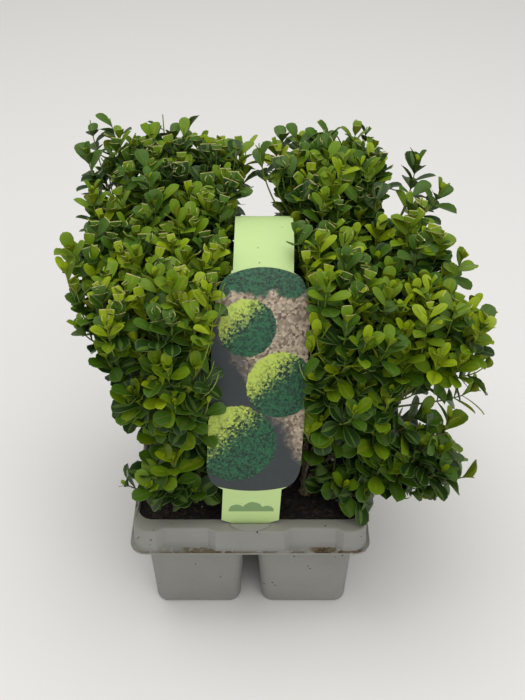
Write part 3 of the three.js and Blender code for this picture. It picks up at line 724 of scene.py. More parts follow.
PRINT_ARC_BELOW, PRINT_ARC_ABOVE = 2.2, 4
PRINT_EDGE, MOTIF_EDGE = 0.002, 0.003
STRAP_GREEN = (0.53, 0.71, 0.29, 1)
PRINT_SHADE = (0.003, 0.016, 0.012, 1)
PRINT_LEAF = (0.018, 0.14, 0.055, 1)
PRINT_SUNLIT = (0.5, 0.62, 0.1, 1)
PRINT_GRAVEL, PRINT_GRAVEL_SHADE = (0.55, 0.45, 0.33, 1), (0.12, 0.08, 0.055, 1)
PRINT_GROUND = (0.035, 0.042, 0.046, 1)
PRINT_MOTIF = (0.2, 0.33, 0.13, 1)
LEAF_GRAIN, GRAVEL_GRAIN, SPOT_SCALE, EDGE_SCALE = 85.0, 60.0, 9.0, 30.0
BALL_EDGE, BALL_RAGGED, BALL_LIGHT = (1.1, 1.06), 0.16, (-0.6, 1.3)
SUNLIT_BY_SIDE, SUNLIT_BY_LEAF, SUNLIT = 1.25, 0.7, (0.75, 1.6)
BANK_SLOPE, BANK_UNEVEN, BANK = 1.6, 0.3, (1.0, 1.25)
HEDGE_UNEVEN, HEDGE = 0.25, (1.36, 1.4)
BALLS = [((-0.12, 0.6, 0), 0.25), ((0.13, 0.98, 0), 0.2), ((-0.08, 1.32, 0), 0.17)]
SMALL_BALLS = [((-0.09, 0.11, 0), 0.05), ((0.01, 0.115, 0), 0.065), ((0.1, 0.11, 0), 0.042)]
MOTIF_GROUND = 0.103

clipped_ball, ball_in, ball_out = new_group(
    "clipped_ball",
    [("Point", "Vector", (0, 0, 0)), ("Centre", "Vector", (0, 0, 0)), ("Radius", "Float", 1.0)],
    [("Mask", "Float"), ("Light", "Float")],
)
leafy_edge = ball_in["Point"].patches(EDGE_SCALE, 3.0)
offset = add(clipped_ball, "VectorMath", 0, {0: ball_in["Point"], 1: ball_in["Centre"]}, operation="SUBTRACT")
away = add(clipped_ball, "VectorMath", "Value", {0: offset}, operation="LENGTH")
connect(ball_out["Mask"], (away / ball_in["Radius"] + leafy_edge * BALL_RAGGED).rise(*BALL_EDGE))
across, up, _ = offset.axes()
connect(ball_out["Light"], ((up - across) / ball_in["Radius"]).rise(*BALL_LIGHT))


def grain_of(place, scale, channel):
    """Small cells, each with a tone of its own."""
    cells = add(place.tree, "TexVoronoi", "Color", {"Vector": place, "Scale": scale})
    return add(place.tree, "SeparateColor", channel, {0: cells})


def place_ball(centre, radius):
    return use_group(strap_print, clipped_ball, {"Point": on_print, "Centre": centre, "Radius": radius})


strap_print = new_material("strap_print", STRAP_GREEN[:3], 0.4)
on_print = add(strap_print.node_tree, "UVMap", 0, uv_map="print")
leaf_light = grain_of(on_print, LEAF_GRAIN, 0)
gravel_light = grain_of(on_print, GRAVEL_GRAIN, 1)
print_spot = on_print.patches(SPOT_SCALE, 3.0)
across, up, _ = on_print.axes()
bank = (across * BANK_SLOPE + up + print_spot * BANK_UNEVEN).rise(*BANK)
hedge = (up - print_spot * HEDGE_UNEVEN).rise(*HEDGE)
leafy = leaf_light.blend(PRINT_SHADE, PRINT_LEAF)
picture = bank.blend(PRINT_GROUND, gravel_light.blend(PRINT_GRAVEL_SHADE, PRINT_GRAVEL))
picture = hedge.blend(picture, leafy)
for centre, radius in BALLS:
    ball = place_ball(centre, radius)
    sunlit = (ball["Light"] * SUNLIT_BY_SIDE + leaf_light * SUNLIT_BY_LEAF).rise(*SUNLIT)
    picture = ball["Mask"].blend(picture, sunlit.blend(leafy, PRINT_SUNLIT))
plain = STRAP_GREEN
for centre, radius in SMALL_BALLS:
    above_ground = up.rise(MOTIF_GROUND, MOTIF_GROUND + MOTIF_EDGE)
    plain = (place_ball(centre, radius)["Mask"] * above_ground).blend(plain, PRINT_MOTIF)
share_across = across * (1 / (STRAP_HALF_WIDTH * PRINT_UNIT))
arc = share_across * share_across
past_low_edge = up - arc * (PRINT_ARC_BELOW * PRINT_UNIT) - (PANEL_FROM - PRINT_ARC_BELOW) * PRINT_UNIT
past_top_edge = up + arc * (PRINT_ARC_ABOVE * PRINT_UNIT) - (PANEL_TO + PRINT_ARC_ABOVE) * PRINT_UNIT
on_panel = past_low_edge.rise(0, PRINT_EDGE) * past_top_edge.rise(0, -PRINT_EDGE)
handled = use_group(
    strap_print, soiling, {"Colour": on_panel.blend(plain, picture), "Specks": 0.5, "Mottling": 0.04}
)
dress(strap_print, base_color=handled["Colour"], roughness=handled["Roughness"])
strap.data.materials.clear()
strap.data.materials.append(strap_print)
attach(strap, "root")
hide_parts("strap")

# The stems and boughs
# Each plant is one rooted cutting: a short woody stem, flared at the soil, that forks at once into upright
# boughs with thin, furrowed bark. A shoot is a bough with all that grows on it.
STEM_HEIGHT = 11
STEM_FOOT, STEM_WAIST, STEM_TOP = 4.2, 3.1, 3.4
STEM_BOW = 0.6
STEM_DOME = 1.4
STEM_SIDES, STEM_FURROWS = 18, 0.16
BOUGH_START, BOUGH_END = 1.3, 1.15
BOUGH_COLLAR = 1.35
BOUGH_LENGTH = 26
BOUGH_RING = 2.1
BOUGH_RISE = 8
BOUGH_SIDES, BOUGH_FURROWS = 10, 0.2
LOW_START = 0.6
LOW_REACH = 14
BEND_OUT, BEND_UP, LOW_BEND_UP = 0.62, 0.5, 0.35
SHOOT_STEPS = 80
PLANTS = {
    "front_left": {
        "cell": (0, 0),
        "tips": {"outer": (-86, -66, 136), "front": (-48, -86, 132), "inner": (-38, -46, 144)},
        "low": (-54, -90, 34),
    },
    "front_right": {
        "cell": (1, 0),
        "tips": {"outer": (117, -64, 116), "front": (52, -82, 130), "inner": (43, -42, 142)},
        "low": (107, -78, 36),
    },
    "middle_left": {
        "cell": (0, 1),
        "tips": {"outer": (-92, -4, 148), "inner": (-34, -8, 150), "back": (-60, 22, 153)},
        "low": (-66, 2, 60),
    },
    "middle_right": {
        "cell": (1, 1),
        "tips": {"outer": (117, 2, 142), "inner": (38, -4, 150), "back": (80, 26, 153)},
        "low": (92, -6, 66),
    },
    "rear_left": {
        "cell": (0, 2),
        "tips": {"outer": (-96, 66, 158), "inner": (-28, 58, 160), "back": (-58, 90, 163)},
        "low": (-64, 84, 58),
    },
    "rear_right": {
        "cell": (1, 2),
        "tips": {"outer": (106, 56, 152), "inner": (31, 56, 160), "back": (60, 90, 162)},
        "low": (82, 78, 58),
    },
}
UP = np.array((0.0, 0.0, 1.0))


def unit(vector):
    return vector / np.linalg.norm(vector)


def turned(vector, axis, angle):
    kept = axis * np.dot(axis, vector) * (1 - math.cos(angle))
    return vector * math.cos(angle) + np.cross(axis, vector) * math.sin(angle) + kept


def placed(points):
    """Turns places in millimetres from the middle of the tray's rim into places in the frame."""
    return np.asarray(points) * MM + np.array((MIDDLE_X, MIDDLE_Y, RIM_Z))


def plant_centre(plant):
    column, row = plant["cell"]
    x = (column - 0.5) * CELL_PITCH.x / MM
    y = (row - 1) * CELL_PITCH.y / MM
    return np.array((x, y, -SOIL_BELOW_RIM + PIECE_GAP))


def heading_of(plant, tip):
    centre = plant_centre(plant)
    return math.atan2(tip[1] - centre[1], tip[0] - centre[0])


def bough_turns(plant):
    """The boughs stand in a ring on the stem's top, in the order in which they lean."""
    headings = {name: heading_of(plant, tip) for name, tip in plant["tips"].items()}
    names = sorted(headings, key=headings.get)
    apart = 2 * math.pi / len(names)
    x = sum(math.cos(headings[name] - k * apart) for k, name in enumerate(names))
    y = sum(math.sin(headings[name] - k * apart) for k, name in enumerate(names))
    return {name: math.atan2(y, x) + k * apart for k, name in enumerate(names)}


def bent_line(corners, count):
    """Points at even steps along the curve that leaves the first corner and arrives at the last."""
    t = np.linspace(0, 1, 4 * count + 1)[:, None]
    curves = corners
    while len(curves) > 1:
        curves = [a * (1 - t) + b * t for a, b in zip(curves, curves[1:])]
    curve = curves[0]
    lengths = np.concatenate(([0], np.cumsum(np.linalg.norm(np.diff(curve, axis=0), axis=1))))
    even = np.linspace(0, lengths[-1], count + 1)
    return np.stack([np.interp(even, lengths, curve[:, k]) for k in range(3)], axis=1), lengths[-1]


def shoot_line(plant, name):
    """A bough starts upright and leans out to its tip. A low shoot leaves the stem's side."""
    low = name == "low"
    tip = np.array(plant["low"] if low else plant["tips"][name], float)
    turn = heading_of(plant, tip) if low else bough_turns(plant)[name]
    outward = np.array((math.cos(turn), math.sin(turn), 0))
    start = plant_centre(plant) + outward * (STEM_TOP + PIECE_GAP if low else BOUGH_RING)
    start[2] += STEM_HEIGHT * LOW_START if low else STEM_HEIGHT + PIECE_GAP
    leaving = start + (outward * LOW_REACH if low else UP * BOUGH_RISE)
    bend_up = LOW_BEND_UP if low else BEND_UP
    bend = start + (tip - start) * (BEND_OUT, BEND_OUT, bend_up)
    return bent_line([start, leaving, bend, tip], SHOOT_STEPS)


def at_share(line, share):
    place = min(1, max(0, share)) * (len(line) - 1)
    k = min(int(place), len(line) - 2)
    return line[k] + (line[k + 1] - line[k]) * (place - k), unit(line[k + 1] - line[k])


def sideways_of(ahead, roll):
    across = np.array((1.0, 0, 0)) if abs(ahead[0]) < 0.9 else np.array((0, 1.0, 0))
    return turned(unit(np.cross(ahead, across)), ahead, roll)


def add_limb(pile, line, radii, sides, kind, furrows=0.0):
    """A closed skin round a line of points, with its own radius at each and with furrows along it."""
    side = sideways_of(unit(line[1] - line[0]), 0.3)
    count = len(line)
    turns = np.arange(sides)[:, None] * 2 * math.pi / sides
    rings = []
    for k in range(count):
        ahead = unit(line[min(k + 1, count - 1)] - line[max(k - 1, 0)])
        side = unit(side - ahead * np.dot(side, ahead))
        other = np.cross(ahead, side)
        radius = np.full((sides, 1), radii[k], float)
        if furrows > 0:
            across = [[noise.noise(Vector((j * 1.7, k * 0.35, line[0][0])))] for j in range(sides)]
            radius *= 1 + furrows * np.array(across)
        rings.append(line[k] + radius * np.cos(turns) * side + radius * np.sin(turns) * other)
    first, turn = np.arange(count - 1)[:, None] * sides, np.arange(sides)[None, :]
    after = (turn + 1) % sides
    quads = np.stack([first + turn, first + after, first + after + sides, first + turn + sides], axis=-1)
    quads = quads.reshape(-1, 4)
    pile.add(placed(np.concatenate(rings)), quads, [kind] * len(quads))


shoots = []
for p, (plant_name, plant) in enumerate(PLANTS.items()):
    for index, shoot_name in enumerate([*plant["tips"], "low"]):
        line, length = shoot_line(plant, shoot_name)
        low = shoot_name == "low"
        shoots.append(
            {
                "plant": plant_name,
                "mass": plant_name + "_" + shoot_name,
                "low": low,
                "seed": p * 10 + index + 1,
                "line": line,
                "length": length,
                "fork": 0 if low else (BOUGH_LENGTH + PIECE_GAP) / length,
            }
        )

BARK_SHADE, BARK_LIGHT = (0.05, 0.036, 0.02, 1), (0.19, 0.16, 0.09, 1)
BARK_GRAIN = (1500, 1500, 260)
old_bark = new_material("old_bark", (0.12, 0.095, 0.05), 0.85)
bark_place = add(old_bark.node_tree, "TexCoord", "Object")
grain = add(old_bark.node_tree, "Mapping", 0, {0: bark_place, "Scale": BARK_GRAIN}).patches(1.0, 4.0)
dress(old_bark, 0.4 * MM, base_color=grain.rise(0.35, 0.65).blend(BARK_SHADE, BARK_LIGHT), height=grain)

up_share = np.linspace(0, 1, 16)
over_top = np.linspace(0, 1, 5)
for plant_name, plant in PLANTS.items():
    pile = Pile()
    stem_line = plant_centre(plant) + np.outer(up_share * STEM_HEIGHT, UP)
    stem_line[:, 0] += STEM_BOW * np.sin(math.pi * up_share)
    flare, swell = (STEM_FOOT - STEM_WAIST) * (1 - up_share) ** 3, (STEM_TOP - STEM_WAIST) * up_share**4
    add_limb(pile, stem_line, STEM_WAIST + flare + swell, STEM_SIDES, 0, STEM_FURROWS)
    dome_line = stem_line[-1] + np.outer(over_top, UP * STEM_DOME)
    dome_radii = STEM_TOP * np.sqrt(1 - (0.98 * over_top) ** 2)
    add_limb(pile, dome_line, dome_radii, STEM_SIDES, 0, STEM_FURROWS)
    for shoot in shoots:
        if shoot["plant"] == plant_name and not shoot["low"]:
            last = int(shoot["fork"] * SHOOT_STEPS)
            line = np.concatenate((shoot["line"][:1] - UP * 2, shoot["line"][: last + 1]))
            radii = np.linspace(BOUGH_START, BOUGH_END, len(line))
            radii[:2] = BOUGH_START * BOUGH_COLLAR
            add_limb(pile, line, radii, BOUGH_SIDES, 0, BOUGH_FURROWS)
    bark = pile.piece("bark_" + plant_name, [old_bark])
    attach(bark, "root")
    boughs = ["bough_" + plant_name + "_" + name for name in plant["tips"]]
    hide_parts("stem_" + plant_name, *boughs)

# The twigs and where the leaves stand
# Side twigs leave a leader, turn upright and end in the outer layers of the crown, each in the room that is
# nearer to its own shoot than to any other. Nothing grows through the label or into the aisle below it.
LEADER_START, LEADER_END = 1.05, 0.45
TWIG_START, TWIG_END = 0.75, 0.36
TWIG_DROP, TWIG_DROP_BY_REACH = 14, 0.75
TWIG_LEAVING = 4
TWIG_BEND = (0.85, 0.85, 0.35)
TWIG_STEPS = 16
TWIG_SIDES, LEADER_SIDES = 5, 7
GREEN_TWIGS_FROM = 75
CANOPY_LEFT, CANOPY_LOW_LEFT, CANOPY_RIGHT = -117, -83, 144
CANOPY_FRONT, CANOPY_BACK = -107, 116.4
SPREAD_FROM, SPREAD_TO = 92, 140
LESS_SPREAD_IN_FRONT, FRONTWARD = 0.25, (0, -70)
LESS_RIGHT_BEHIND, REARWARD = 48, (-50, 100)
SHOULDER, SHOULDER_WIDTH = 14, 26
CLIP_LEVEL = 169
CLIP_SLOPE = 0.17
TOP_LIMIT = 187
OVER_RIM, BESIDE_RIM = 2.5, 2
LOWEST_OUTSIDE = 6
LIFT_IN_FRONT, LIFT_FROM = 0.7, -75
AISLE = {"middle": 8.8, "width": 37, "top": 158}
AISLE_BEHIND = {"middle": -1, "width": 2, "top": 198}
AISLE_NARROWS = (35, 70)
SOIL_WINDOW = {"middle": 28, "width": 50, "top": 34}
GAPS = [
    ((100, -70, 76), 9.5),
    ((146, -60, 64), 24),
    ((95, 60, 140), 7),
    ((3, 85, 138), 10),
    ((-95, 70, 150), 5),
]
GAP_DEPTH = 45
REACH_TOP, REACH_FORK, REACH_LOW = 38, 8, 25
REACH_GROWS, LOW_REACH_GROWS = (0.3, 0.85), (-0.5, 0.6)
UNEVEN_SIZE = 30
UNEVEN_INSET = 17
UNEVEN_REACH = 0.35
TIP_INSET = 5
STRAYS = [
    (110, 75, 165),
    (123, 50, 158),
    (-109, 105, 184),
    (-96, 108, 184),
    (-60, 110, 186),
    (-107, -40, 152),
    (-104, -28, 160),
    (140, -60, 134),
    (139, -65, 102),
    (133, -80, 28),
    (122, -66, 60),
    (104, -72, 72),
    (134, -62, 82),
    (-77, -76, 17),
    (-6, 88, 158),
]
STRAY_SEED = 900.0
SPRIG_APART = 12.3
SPRIG_LAYER = 17
SPRIG_SHIFT = 0.85
LEFT_IN_SECOND_LAYER = 0.6
LEFT_INSIDE = 0.16
CUT_BELOW_TOP, CUT_PLAY = 3, 6
REGROWN, REGROWTH = 0.16, 8
LEAF_LENGTH = 14.3
LEAF_RATIOS = (0.72, 0.66, 0.6, 0.52)
LEAF_CHECKED_AT, LEAF_CHECKED_BACK = 0.55, 4
LEAF_ROLL_PLAY, LEAF_SPREAD_PLAY = 0.6, 0.4
LEAF_SHORTEST, LEAF_LENGTH_PLAY = 0.82, 0.36
LEAF_NARROWEST, LEAF_WIDTH_PLAY = 0.9, 0.22
BUD_SIZE, BUD_SPREAD = 0.45, 0.2
BUDS_BELOW, YOUNG_TIPS_BELOW = 0.9, 0.95
LEADER_LEAF_SIZE, LEADER_LEAF_SPREAD = 1.05, 0.9
LOWEST_LEAVES, LOWER_LEAVES_LARGER, LOWER_LEAVES_FLATTER = 1.28, 0.32, 0.3
NODE_APART, FIRST_NODE_BACK, BARE_FOOT = 5.2, 0.6, 3
NODE_SPREADS = (0.34, 0.62, 0.88, 1.05, 1.2)
NODE_SIZES = (0.82, 1.0, 1.04, 1.0, 0.94)
# Leaf tints are dealt out by height and by nearness to the front: partly the leaves' age, partly painted
# light on the crown's lit top and front.
TINT_LIMITS = (0.48, 0.78, 1.08)
FRESH_AND_LIT_BY_HEIGHT, FRESH_AND_LIT_BY_FRONT, FRESH_BY_LUCK = 0.72, 0.32, 0.75
CUT_SHARE, CUT_AT_MOST = 0.3, 0.93
TWIGS_LEFT_IN_GAPS = 0.25
STRAP_OVERLAP = 2.5
STRAP_CLEAR_TO = 15
STRAP_BESIDE, STRAP_AWAY = 1.2, 1.4
LEAVES_OVER_STRAP = 0.18

tubes = {name: [] for name in PLANTS}
leaves = {shoot["mass"]: [] for shoot in shoots}


def smooth_step(start, end, value):
    t = np.clip((value - start) / (end - start), 0, 1)
    return t * t * (3 - 2 * t)


def nearest_shoots(points):
    """For each point, its nearest shoot, the distance to it and the place along it as a share."""
    best = np.full(len(points), np.inf)
    owner = np.zeros(len(points), int)
    share = np.zeros(len(points))
    for rank, shoot in enumerate(shoots):
        line = shoot["line"][::8]
        steps = np.diff(line, axis=0)
        offset = points[:, None] - line[:-1]
        t = np.clip(np.sum(offset * steps, axis=2) / np.sum(steps**2, axis=1), 0, 1)
        away = np.linalg.norm(offset - steps * t[..., None], axis=2)
        k = away.argmin(axis=1)
        row = np.arange(len(points))
        closer = away[row, k] < best
        best[closer] = away[row, k][closer]
        owner[closer] = rank
        share[closer] = ((k + t[row, k]) / len(steps))[closer]
    return owner, best, share


def clip_height(y):
    return CLIP_LEVEL + CLIP_SLOPE * y


def left_limit(y, z):
    spread = smooth_step(SPREAD_FROM, SPREAD_TO, z) * (1 - LESS_SPREAD_IN_FRONT * smooth_step(*FRONTWARD, y))
    return CANOPY_LOW_LEFT + (CANOPY_LEFT - CANOPY_LOW_LEFT) * spread


def right_limit(y):
    return CANOPY_RIGHT - LESS_RIGHT_BEHIND * smooth_step(*REARWARD, y)


def crown_top(x, y):
    """The clipped top. It falls off towards both long sides."""
    from_edge = np.minimum(x - left_limit(y, CLIP_LEVEL), right_limit(y) - x)
    return clip_height(y) - SHOULDER * (1 - smooth_step(0, SHOULDER_WIDTH, from_edge))


def in_canopy(points):
    x, y, z = np.asarray(points).T
    over_tray = np.abs(x) < HEM.x / 2 / MM + BESIDE_RIM
    over_tray &= np.abs(y) < HEM.y / 2 / MM + BESIDE_RIM
    inside = (x > left_limit(y, z)) & (x < CANOPY_RIGHT) & (y > CANOPY_FRONT) & (y < CANOPY_BACK)
    lowest = LOWEST_OUTSIDE + LIFT_IN_FRONT * np.maximum(0, LIFT_FROM - y)
    return inside & (z > np.where(over_tray, OVER_RIM, lowest)) & (z < TOP_LIMIT)


def in_aisle(points):
    x, y, z = np.asarray(points).T
    rear = smooth_step(*AISLE_NARROWS, y)
    middle, width, top = (AISLE[key] + (AISLE_BEHIND[key] - AISLE[key]) * rear for key in AISLE)
    return (np.abs(x - middle) < width / 2) & (z < top)


def in_gap(points):
    """Where one looks through the crown from the front and sees the ground or the wall behind it."""
    found = np.zeros(len(points), bool)
    for centre, radius in GAPS:
        ray = np.array(centre) - np.array(CAMERA_PLACE)
        ray /= np.linalg.norm(ray)
        offset = np.asarray(points) - centre
        off_ray = np.linalg.norm(np.cross(offset, ray), axis=1)
        found |= (off_ray < radius) & (offset @ ray > -GAP_DEPTH)
    return found


def unevenness(points, seed):
    return np.array([noise.noise(Vector(point) / UNEVEN_SIZE + Vector((seed, 0, 0))) for point in points])


def in_crown(points):
    """The room that the leaves of all shoots fill together, with an uneven outside."""
    owner, away, share = nearest_shoots(points)
    low = np.array([shoot["low"] for shoot in shoots])[owner]
    reach = np.where(low, REACH_LOW * smooth_step(*LOW_REACH_GROWS, share), 0)
    grown = smooth_step(*REACH_GROWS, share)
    reach += np.where(low, 0, REACH_FORK + (REACH_TOP - REACH_FORK) * grown)
    lumps = unevenness(points, 3.0)
    inset = TIP_INSET + UNEVEN_INSET * (0.5 + lumps)
    x, y, z = points.T
    inside = (x - inset > left_limit(y, z)) & (x + inset < right_limit(y)) & (z < crown_top(x, y))
    inside &= (y - inset > CANOPY_FRONT) & (y + inset / 4 < CANOPY_BACK) & ~in_gap(points)
    beside_window = np.abs(x - SOIL_WINDOW["middle"]) >= SOIL_WINDOW["width"] / 2
    inside &= beside_window | (y >= 0) | (z >= SOIL_WINDOW["top"])
    return inside & (away < reach * (1 + UNEVEN_REACH * lumps)) & in_canopy(points) & ~in_aisle(points)


def off_strap(points):
    """How far each point lies outside the strap's sheet, and how far beyond its side edge."""
    x, y, z = np.asarray(points).T
    height = np.maximum(z, 0)
    angle = np.arctan2(height / STRAP_RISE, -y / STRAP_HALF_SPAN)
    reach = np.hypot(y / STRAP_HALF_SPAN, height / STRAP_RISE)
    arch_size = np.hypot(STRAP_HALF_SPAN * np.cos(angle), STRAP_RISE * np.sin(angle))
    along = np.interp(angle, arch_angles, arch_lengths)
    half_width = np.array([strap_half_width(max(2, s)) for s in along])
    return (reach - 1) * arch_size, np.abs(x - STRAP_LEAN * np.sin(angle)) - half_width


def crosses_strap(points):
    away, beside = off_strap(points)
    over = away[beside < STRAP_BESIDE]
    return len(over) > 0 and (np.abs(over).min() < STRAP_AWAY or (over.min() < 0 < over.max()))


def covers_strap(points):
    """Whether something hangs over the front of the strap, where the hand and the eye come to it."""
    away, beside = off_strap(points)
    return ((away > 0) & (beside < -STRAP_OVERLAP) & (points[:, 1] < STRAP_CLEAR_TO)).any()


def room_for_leaf(samples, seed, stray):
    """Whether a leaf may stand here. The first sample is its foot, which its twig has already placed."""
    outer = samples[1:]
    if in_aisle(outer).any() or (in_gap(outer).any() and not stray):
        return False
    if not in_canopy(outer).all() or crosses_strap(samples):
        return False
    return not covers_strap(samples) or chance(*seed, 9) <= LEAVES_OVER_STRAP


def leaf_pair(owner, place, ahead, roll, spread, size, tint, seed, clipped=True, stray=False):
    """Two leaves opposite each other. Where they pass the clipped top they end in a cut, or are gone."""
    for hand in (1, -1):
        luck = chance(seed, hand, 3)
        out = sideways_of(ahead, roll + (luck - 0.5) * LEAF_ROLL_PLAY) * hand
        angle = spread + (chance(seed, hand, 4) - 0.5) * LEAF_SPREAD_PLAY
        along = ahead * math.cos(angle) + out * math.sin(angle)
        facing = ahead * math.sin(angle) - out * math.cos(angle)
        length = size * (LEAF_SHORTEST + LEAF_LENGTH_PLAY * chance(seed, hand, 5))
        width = length * LEAF_RATIOS[tint] * (LEAF_NARROWEST + LEAF_WIDTH_PLAY * luck)
        tip = place + along * length
        side = np.cross(facing, along) * width / 2
        shoulder = tip - along * LEAF_CHECKED_BACK
        middle = place + along * length * LEAF_CHECKED_AT
        samples = np.array([place, middle, tip, shoulder + side, shoulder - side])
        if not room_for_leaf(samples, (seed, hand), stray):
            continue
        cut = 1.0
        top = crown_top(tip[0], tip[1])
        if clipped and tip[2] > top:
            cut = (top - place[2]) / max(tip[2] - place[2], 0.1)
            if cut < CUT_SHARE:
                continue
            cut = min(cut, CUT_AT_MOST)
        leaves[owner["mass"]].append((place, along, facing, length, width, tint, cut, chance(seed, hand, 6)))


def tint_of(height, front, seed):
    """The leaves get lighter tints higher up and in front, where the light comes from: partly as younger
    growth, partly as painted light on the lit side of the crown.
    """
    fresh_and_lit = FRESH_AND_LIT_BY_HEIGHT * height + FRESH_AND_LIT_BY_FRONT * front + FRESH_BY_LUCK * (chance(seed, 8) - 0.5)
    return sum(int(fresh_and_lit > limit) for limit in TINT_LIMITS)


def twig_line(shoot, tip, share):
    """A twig leaves the leader below its tip and turns upright."""
    centre, _ = at_share(shoot["line"], share)
    drop = TWIG_DROP + TWIG_DROP_BY_REACH * np.linalg.norm(tip - centre)
    start, leaving = at_share(shoot["line"], max(shoot["fork"], share - drop / shoot["length"]))
    bend = start + (tip - start) * TWIG_BEND
    return bent_line([start, start + leaving * TWIG_LEAVING, bend, tip], TWIG_STEPS)


def grow_sprig(tip, seed, clipped, stray=False):
    """A twig with leaves on its last stretch, and with a bud of two small ones where it wasn't clipped."""
    owner, _, share = nearest_shoots(tip[None])
    shoot = shoots[owner[0]]
    line, length = twig_line(shoot, tip, share[0])
    bare = not stray and in_gap(line).any() and chance(seed, 15) > TWIGS_LEFT_IN_GAPS
    if bare or in_aisle(line).any() or crosses_strap(line):
        return
    bark_kind = 2 if tip[2] > GREEN_TWIGS_FROM else 1
    radii = np.linspace(TWIG_START, TWIG_END, TWIG_STEPS // 2 + 1)
    tubes[shoot["plant"]].append((line[::2], radii, TWIG_SIDES, bark_kind))
    height = tip[2] / clip_height(tip[1])
    front = 0.5 - tip[1] / 200
    roll = seed * 2.4
    for k, (node_spread, node_size) in enumerate(zip(NODE_SPREADS, NODE_SIZES)):
        back = k * NODE_APART + FIRST_NODE_BACK
        if back > length - BARE_FOOT:
            break
        place, ahead = at_share(line, 1 - back / length)
        spread = node_spread + LOWER_LEAVES_FLATTER * (1 - height)
        size = LEAF_LENGTH * node_size * (LOWEST_LEAVES - LOWER_LEAVES_LARGER * height)
        # The tip pair of a low sprig is a tint lighter, as young growth; pairs lower down the sprig are a
        # tint darker, as older leaves and as painted shade inside the crown.
        age_and_shade_step = int(k == 0 and height < YOUNG_TIPS_BELOW) - int(k > 2)
        tint = max(0, min(3, tint_of(height, front, seed) + age_and_shade_step))
        turn = roll + k * math.pi / 2
        leaf_pair(shoot, place, ahead, turn, spread, size, tint, seed * 3.1 + k, clipped, stray)
    if not clipped or height < BUDS_BELOW:
        place, ahead = at_share(line, 1)
        size = LEAF_LENGTH * BUD_SIZE
        leaf_pair(shoot, place, ahead, roll + 1.57, BUD_SPREAD, size, 3, seed * 9.7, clipped, stray)


def without_skin(cells):
    """Takes the outermost cells off a block of cells."""
    padded = np.pad(cells, 1)
    kept = cells.copy()
    for axis in range(3):
        for shift in (-1, 1):
            kept &= np.roll(padded, shift, axis)[1:-1, 1:-1, 1:-1]
    return kept


grid_x = np.arange(CANOPY_LEFT, CANOPY_RIGHT, SPRIG_APART)
grid_y = np.arange(CANOPY_FRONT, CANOPY_BACK, SPRIG_APART)
grid_z = np.arange(OVER_RIM, TOP_LIMIT + SPRIG_LAYER, SPRIG_LAYER)
lattice = np.stack(np.meshgrid(grid_x, grid_y, grid_z, indexing="ij"), axis=-1)
filled = in_crown(lattice.reshape(-1, 3)).reshape(lattice.shape[:3])
second = without_skin(filled)
inside = without_skin(second)
for i, j, k in np.argwhere(filled):
    seed = i * 1.37 + j * 17.3 + k * 5.71
    luck = chance(seed, 11)
    if inside[i, j, k] and luck > LEFT_INSIDE:
        continue
    if second[i, j, k] and luck > LEFT_IN_SECOND_LAYER:
        continue
    shift = np.array([chance(seed, axis, 12) - 0.5 for axis in range(3)])
    tip = lattice[i, j, k] + shift * (SPRIG_APART, SPRIG_APART, SPRIG_LAYER) * SPRIG_SHIFT
    clipped = True
    top = crown_top(tip[0], tip[1])
    if tip[2] > top - SPRIG_LAYER:
        clipped = chance(seed, 13) > REGROWN
        tip[2] = top - CUT_BELOW_TOP - CUT_PLAY * chance(seed, 14) + (0 if clipped else REGROWTH)
    if in_canopy(tip[None]).all() and not in_aisle(tip[None]).any():
        grow_sprig(tip, seed, clipped)

for number, stray in enumerate(STRAYS):
    grow_sprig(np.array(stray, float), STRAY_SEED + number, False, True)

for shoot in shoots:
    line = shoot["line"][int(shoot["fork"] * SHOOT_STEPS) :: 2]
    radii = np.linspace(LEADER_START, LEADER_END, len(line))
    tubes[shoot["plant"]].append((line, radii, LEADER_SIDES, 0))
    nodes = round(shoot["length"] * (1 - shoot["fork"]) / (2 * NODE_APART))
    for k in range(1, nodes + 1):
        share = shoot["fork"] + (1 - shoot["fork"]) * k / nodes
        place, ahead = at_share(shoot["line"], share)
        seed = shoot["seed"] * 7.0 + k
        roll = k * math.pi / 2 + shoot["seed"]
        tint = tint_of(0.6 * share, 0.5, seed)
        size = LEAF_LENGTH * LEADER_LEAF_SIZE
        leaf_pair(shoot, place, ahead, roll, LEADER_LEAF_SPREAD, size, tint, seed)

brown_twig = new_material("brown_twig", (0.16, 0.13, 0.045), 0.7)
green_twig = new_material("green_twig", (0.2, 0.27, 0.035), 0.5)
for plant_name in PLANTS:
    pile = Pile()
    for line, radii, sides, kind in tubes[plant_name]:
        add_limb(pile, line, radii, sides, kind)
    twigs = pile.piece("twigs_" + plant_name, [old_bark, brown_twig, green_twig])
    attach(twigs, "root")

# The leaves
# Small, leathery and opposite, glossy above with a pale midrib and a thin pale margin, paler and matt below.
# The margin's pale strip is partly a painted highlight on the thick, light-catching edge.
# The newest are yellow-green. Where the shears went over the top they end in a straight, dried, pale cut.
WHOLE_STATIONS = np.array((0.0, 0.14, 0.36, 0.6, 0.82, 0.95, 1.0))
CUT_STATIONS = np.array((0.0, 0.2, 0.45, 0.7, 0.9, 1.0, 1.0))
CUT_EDGE = 0.032
ACROSS = np.array((-1, -0.88, -0.07, 0.07, 0.88, 1, -0.3, 0.3))
RING = len(ACROSS)
LAST = len(WHOLE_STATIONS) - 1
LEAF_THICKNESS = 0.35
PETIOLE_LENGTH, PETIOLE_WIDTH = 0.06, 0.09
FOLD, FOLD_PLAY = 0.34, 0.42
DROOP, DROOP_PLAY = 0.04, 0.16
HOLLOW = 0.25
BLUNTNESS = np.array((3.4, 3.1, 2.8, 2.2))
HIGHLIT_MARGIN, RIB, UNDER, CUT, YOUNG_UNDER = 4, 5, 6, 7, 8
LEAF_SPECULAR = 0.24
